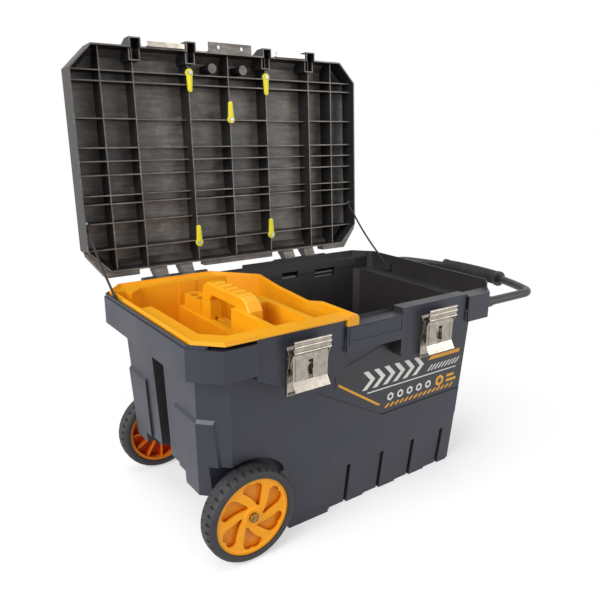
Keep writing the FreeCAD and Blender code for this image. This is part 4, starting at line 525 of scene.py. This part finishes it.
def stay(side, name):
    """A cord from the tub's bracket to the lid's screw, drawn nearly straight by the open lid."""
    curve = bpy.data.curves.new(f"lid_stay_{name}_route", "CURVE")
    curve.dimensions = "3D"
    curve.bevel_resolution = 4
    curve.use_fill_caps = True
    spline = curve.splines.new("NURBS")
    spline.points.add(len(STAY_ROUTE) - 1)
    for point, (x, y, z) in zip(spline.points, STAY_ROUTE):
        point.co = (side * x, y, z, 1)
    spline.order_u = 3
    spline.use_endpoint_u = True
    spline.resolution_u = 24
    guide = bpy.data.objects.new(f"lid_stay_{name}_route", curve)
    line = bpy.data.meshes.new_from_object(guide)
    curve.bevel_depth = STAY_DIAMETER / 2
    tube = bpy.data.meshes.new_from_object(guide)
    bpy.data.objects.remove(guide)
    for face in tube.polygons:
        face.use_smooth = True
    piece = bpy.data.objects.new(f"lid_stay_{name}", tube)
    bpy.context.scene.collection.objects.link(piece)
    paint(piece, braid)
    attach(piece, "tub")
    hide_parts(f"stay_cord_{name}")
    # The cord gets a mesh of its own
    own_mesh(piece)


for side, name in SIDES:
    stay(side, name)

# Stage: a pale floor, the world, lamps and the camera

FLOOR_HALF = 6
# From here to here, in metres from the middle, the floor fades to plain white
FADE_START = 0.36
FADE_END = 0.8
# Place, aim, width in metres and power in watts of each lamp
LAMPS = {
    "key": ((-2.3, -0.7, 1.5), (0, 0, 0.35), 1.5, 56),
    "fill": ((1.9, -2.3, 1.0), (0.1, 0, 0.5), 1.5, 20),
    "top": ((-0.6, -0.1, 2.5), (-0.1, 0, 0.3), 1.2, 18),
}
CAMERA_PLACE = (-0.7112, -0.9666, 0.7148)
CAMERA_YAW = 35.93
CAMERA_PITCH = 15.96
CAMERA_ROLL = 0.71
LENS = 37.34
SENSOR = 36


def background_rays(material):
    """1 for the rays that see or mirror the background, 0 for the light that it gives."""
    seen, mirrored, through = [add(material, "ShaderNodeLightPath", output=ray)
                               for ray in ("Is Camera Ray", "Is Glossy Ray", "Is Transmission Ray")]
    either = add(material, MATHS, {0: seen, 1: mirrored}, operation="MAXIMUM")
    return add(material, MATHS, {0: either, 1: through}, operation="MAXIMUM")


def floor():
    """A white floor that keeps the object's shadow near it and fades to plain white further out."""
    mesh = bpy.data.meshes.new("floor")
    sheet = bmesh.new()
    bmesh.ops.create_grid(sheet, x_segments=1, y_segments=1, size=FLOOR_HALF)
    sheet.to_mesh(mesh)
    sheet.free()
    obj = bpy.data.objects.new("floor", mesh)
    bpy.context.scene.collection.objects.link(obj)
    material, place = new_material("studio floor")
    seen = background_rays(material)
    matt = add(material, "ShaderNodeBsdfDiffuse", {"Color": FLOOR_GREY})
    glow = add(material, "ShaderNodeEmission", {"Strength": 0.5})
    lit = add(material, "ShaderNodeAddShader", {0: glow, 1: matt})
    distance = add(material, VECTOR_MATHS, {0: place}, "Value", operation="LENGTH")
    fade = add(material, RANGE, {VALUE: distance, LOW: FADE_START, HIGH: FADE_END})
    white = add(material, "ShaderNodeEmission", {"Strength": 1.0})
    faded = add(material, "ShaderNodeMixShader", {0: fade, 1: lit, 2: white})
    shown = add(material, "ShaderNodeMixShader", {0: seen, 1: matt, 2: faded})
    add(material, "ShaderNodeOutputMaterial", {"Surface": shown})
    paint(obj, material)


def sky():
    """White where it is seen or mirrored, a plain grey dome as light."""
    world = bpy.data.worlds.new("studio")
    bpy.context.scene.world = world
    world.use_nodes = True
    world.node_tree.nodes.clear()
    dome = add(world, "ShaderNodeBackground", {"Color": WHITE, "Strength": 0.5})
    white = add(world, "ShaderNodeBackground", {"Color": WHITE, "Strength": 1.0})
    shown = add(world, "ShaderNodeMixShader", {0: background_rays(world), 1: dome, 2: white})
    add(world, "ShaderNodeOutputWorld", {"Surface": shown})


def lamp(name, place, aim, size, watts):
    """A square soft box."""
    light = bpy.data.lights.new(name, "AREA")
    light.shape = "SQUARE"
    light.size = size
    light.energy = watts
    obj = bpy.data.objects.new(name, light)
    bpy.context.scene.collection.objects.link(obj)
    obj.location = place
    obj.rotation_euler = (Vector(aim) - Vector(place)).to_track_quat("-Z", "Y").to_euler()


def camera():
    """The photograph's view: from the left front, a little above the open box."""
    lens = bpy.data.cameras.new("camera")
    lens.lens = LENS
    lens.sensor_width = SENSOR
    obj = bpy.data.objects.new("camera", lens)
    bpy.context.scene.collection.objects.link(obj)
    turn = (Matrix.Rotation(-math.radians(CAMERA_YAW), 4, "Z")
            @ Matrix.Rotation(math.radians(90 - CAMERA_PITCH), 4, "X")
            @ Matrix.Rotation(math.radians(CAMERA_ROLL), 4, "Z"))
    obj.matrix_world = Matrix.Translation(CAMERA_PLACE) @ turn
    bpy.context.scene.camera = obj


floor()
sky()
for name, (place, aim, size, watts) in LAMPS.items():
    lamp(name, place, aim, size, watts)
camera()
bpy.context.scene.view_settings.view_transform = "Standard"
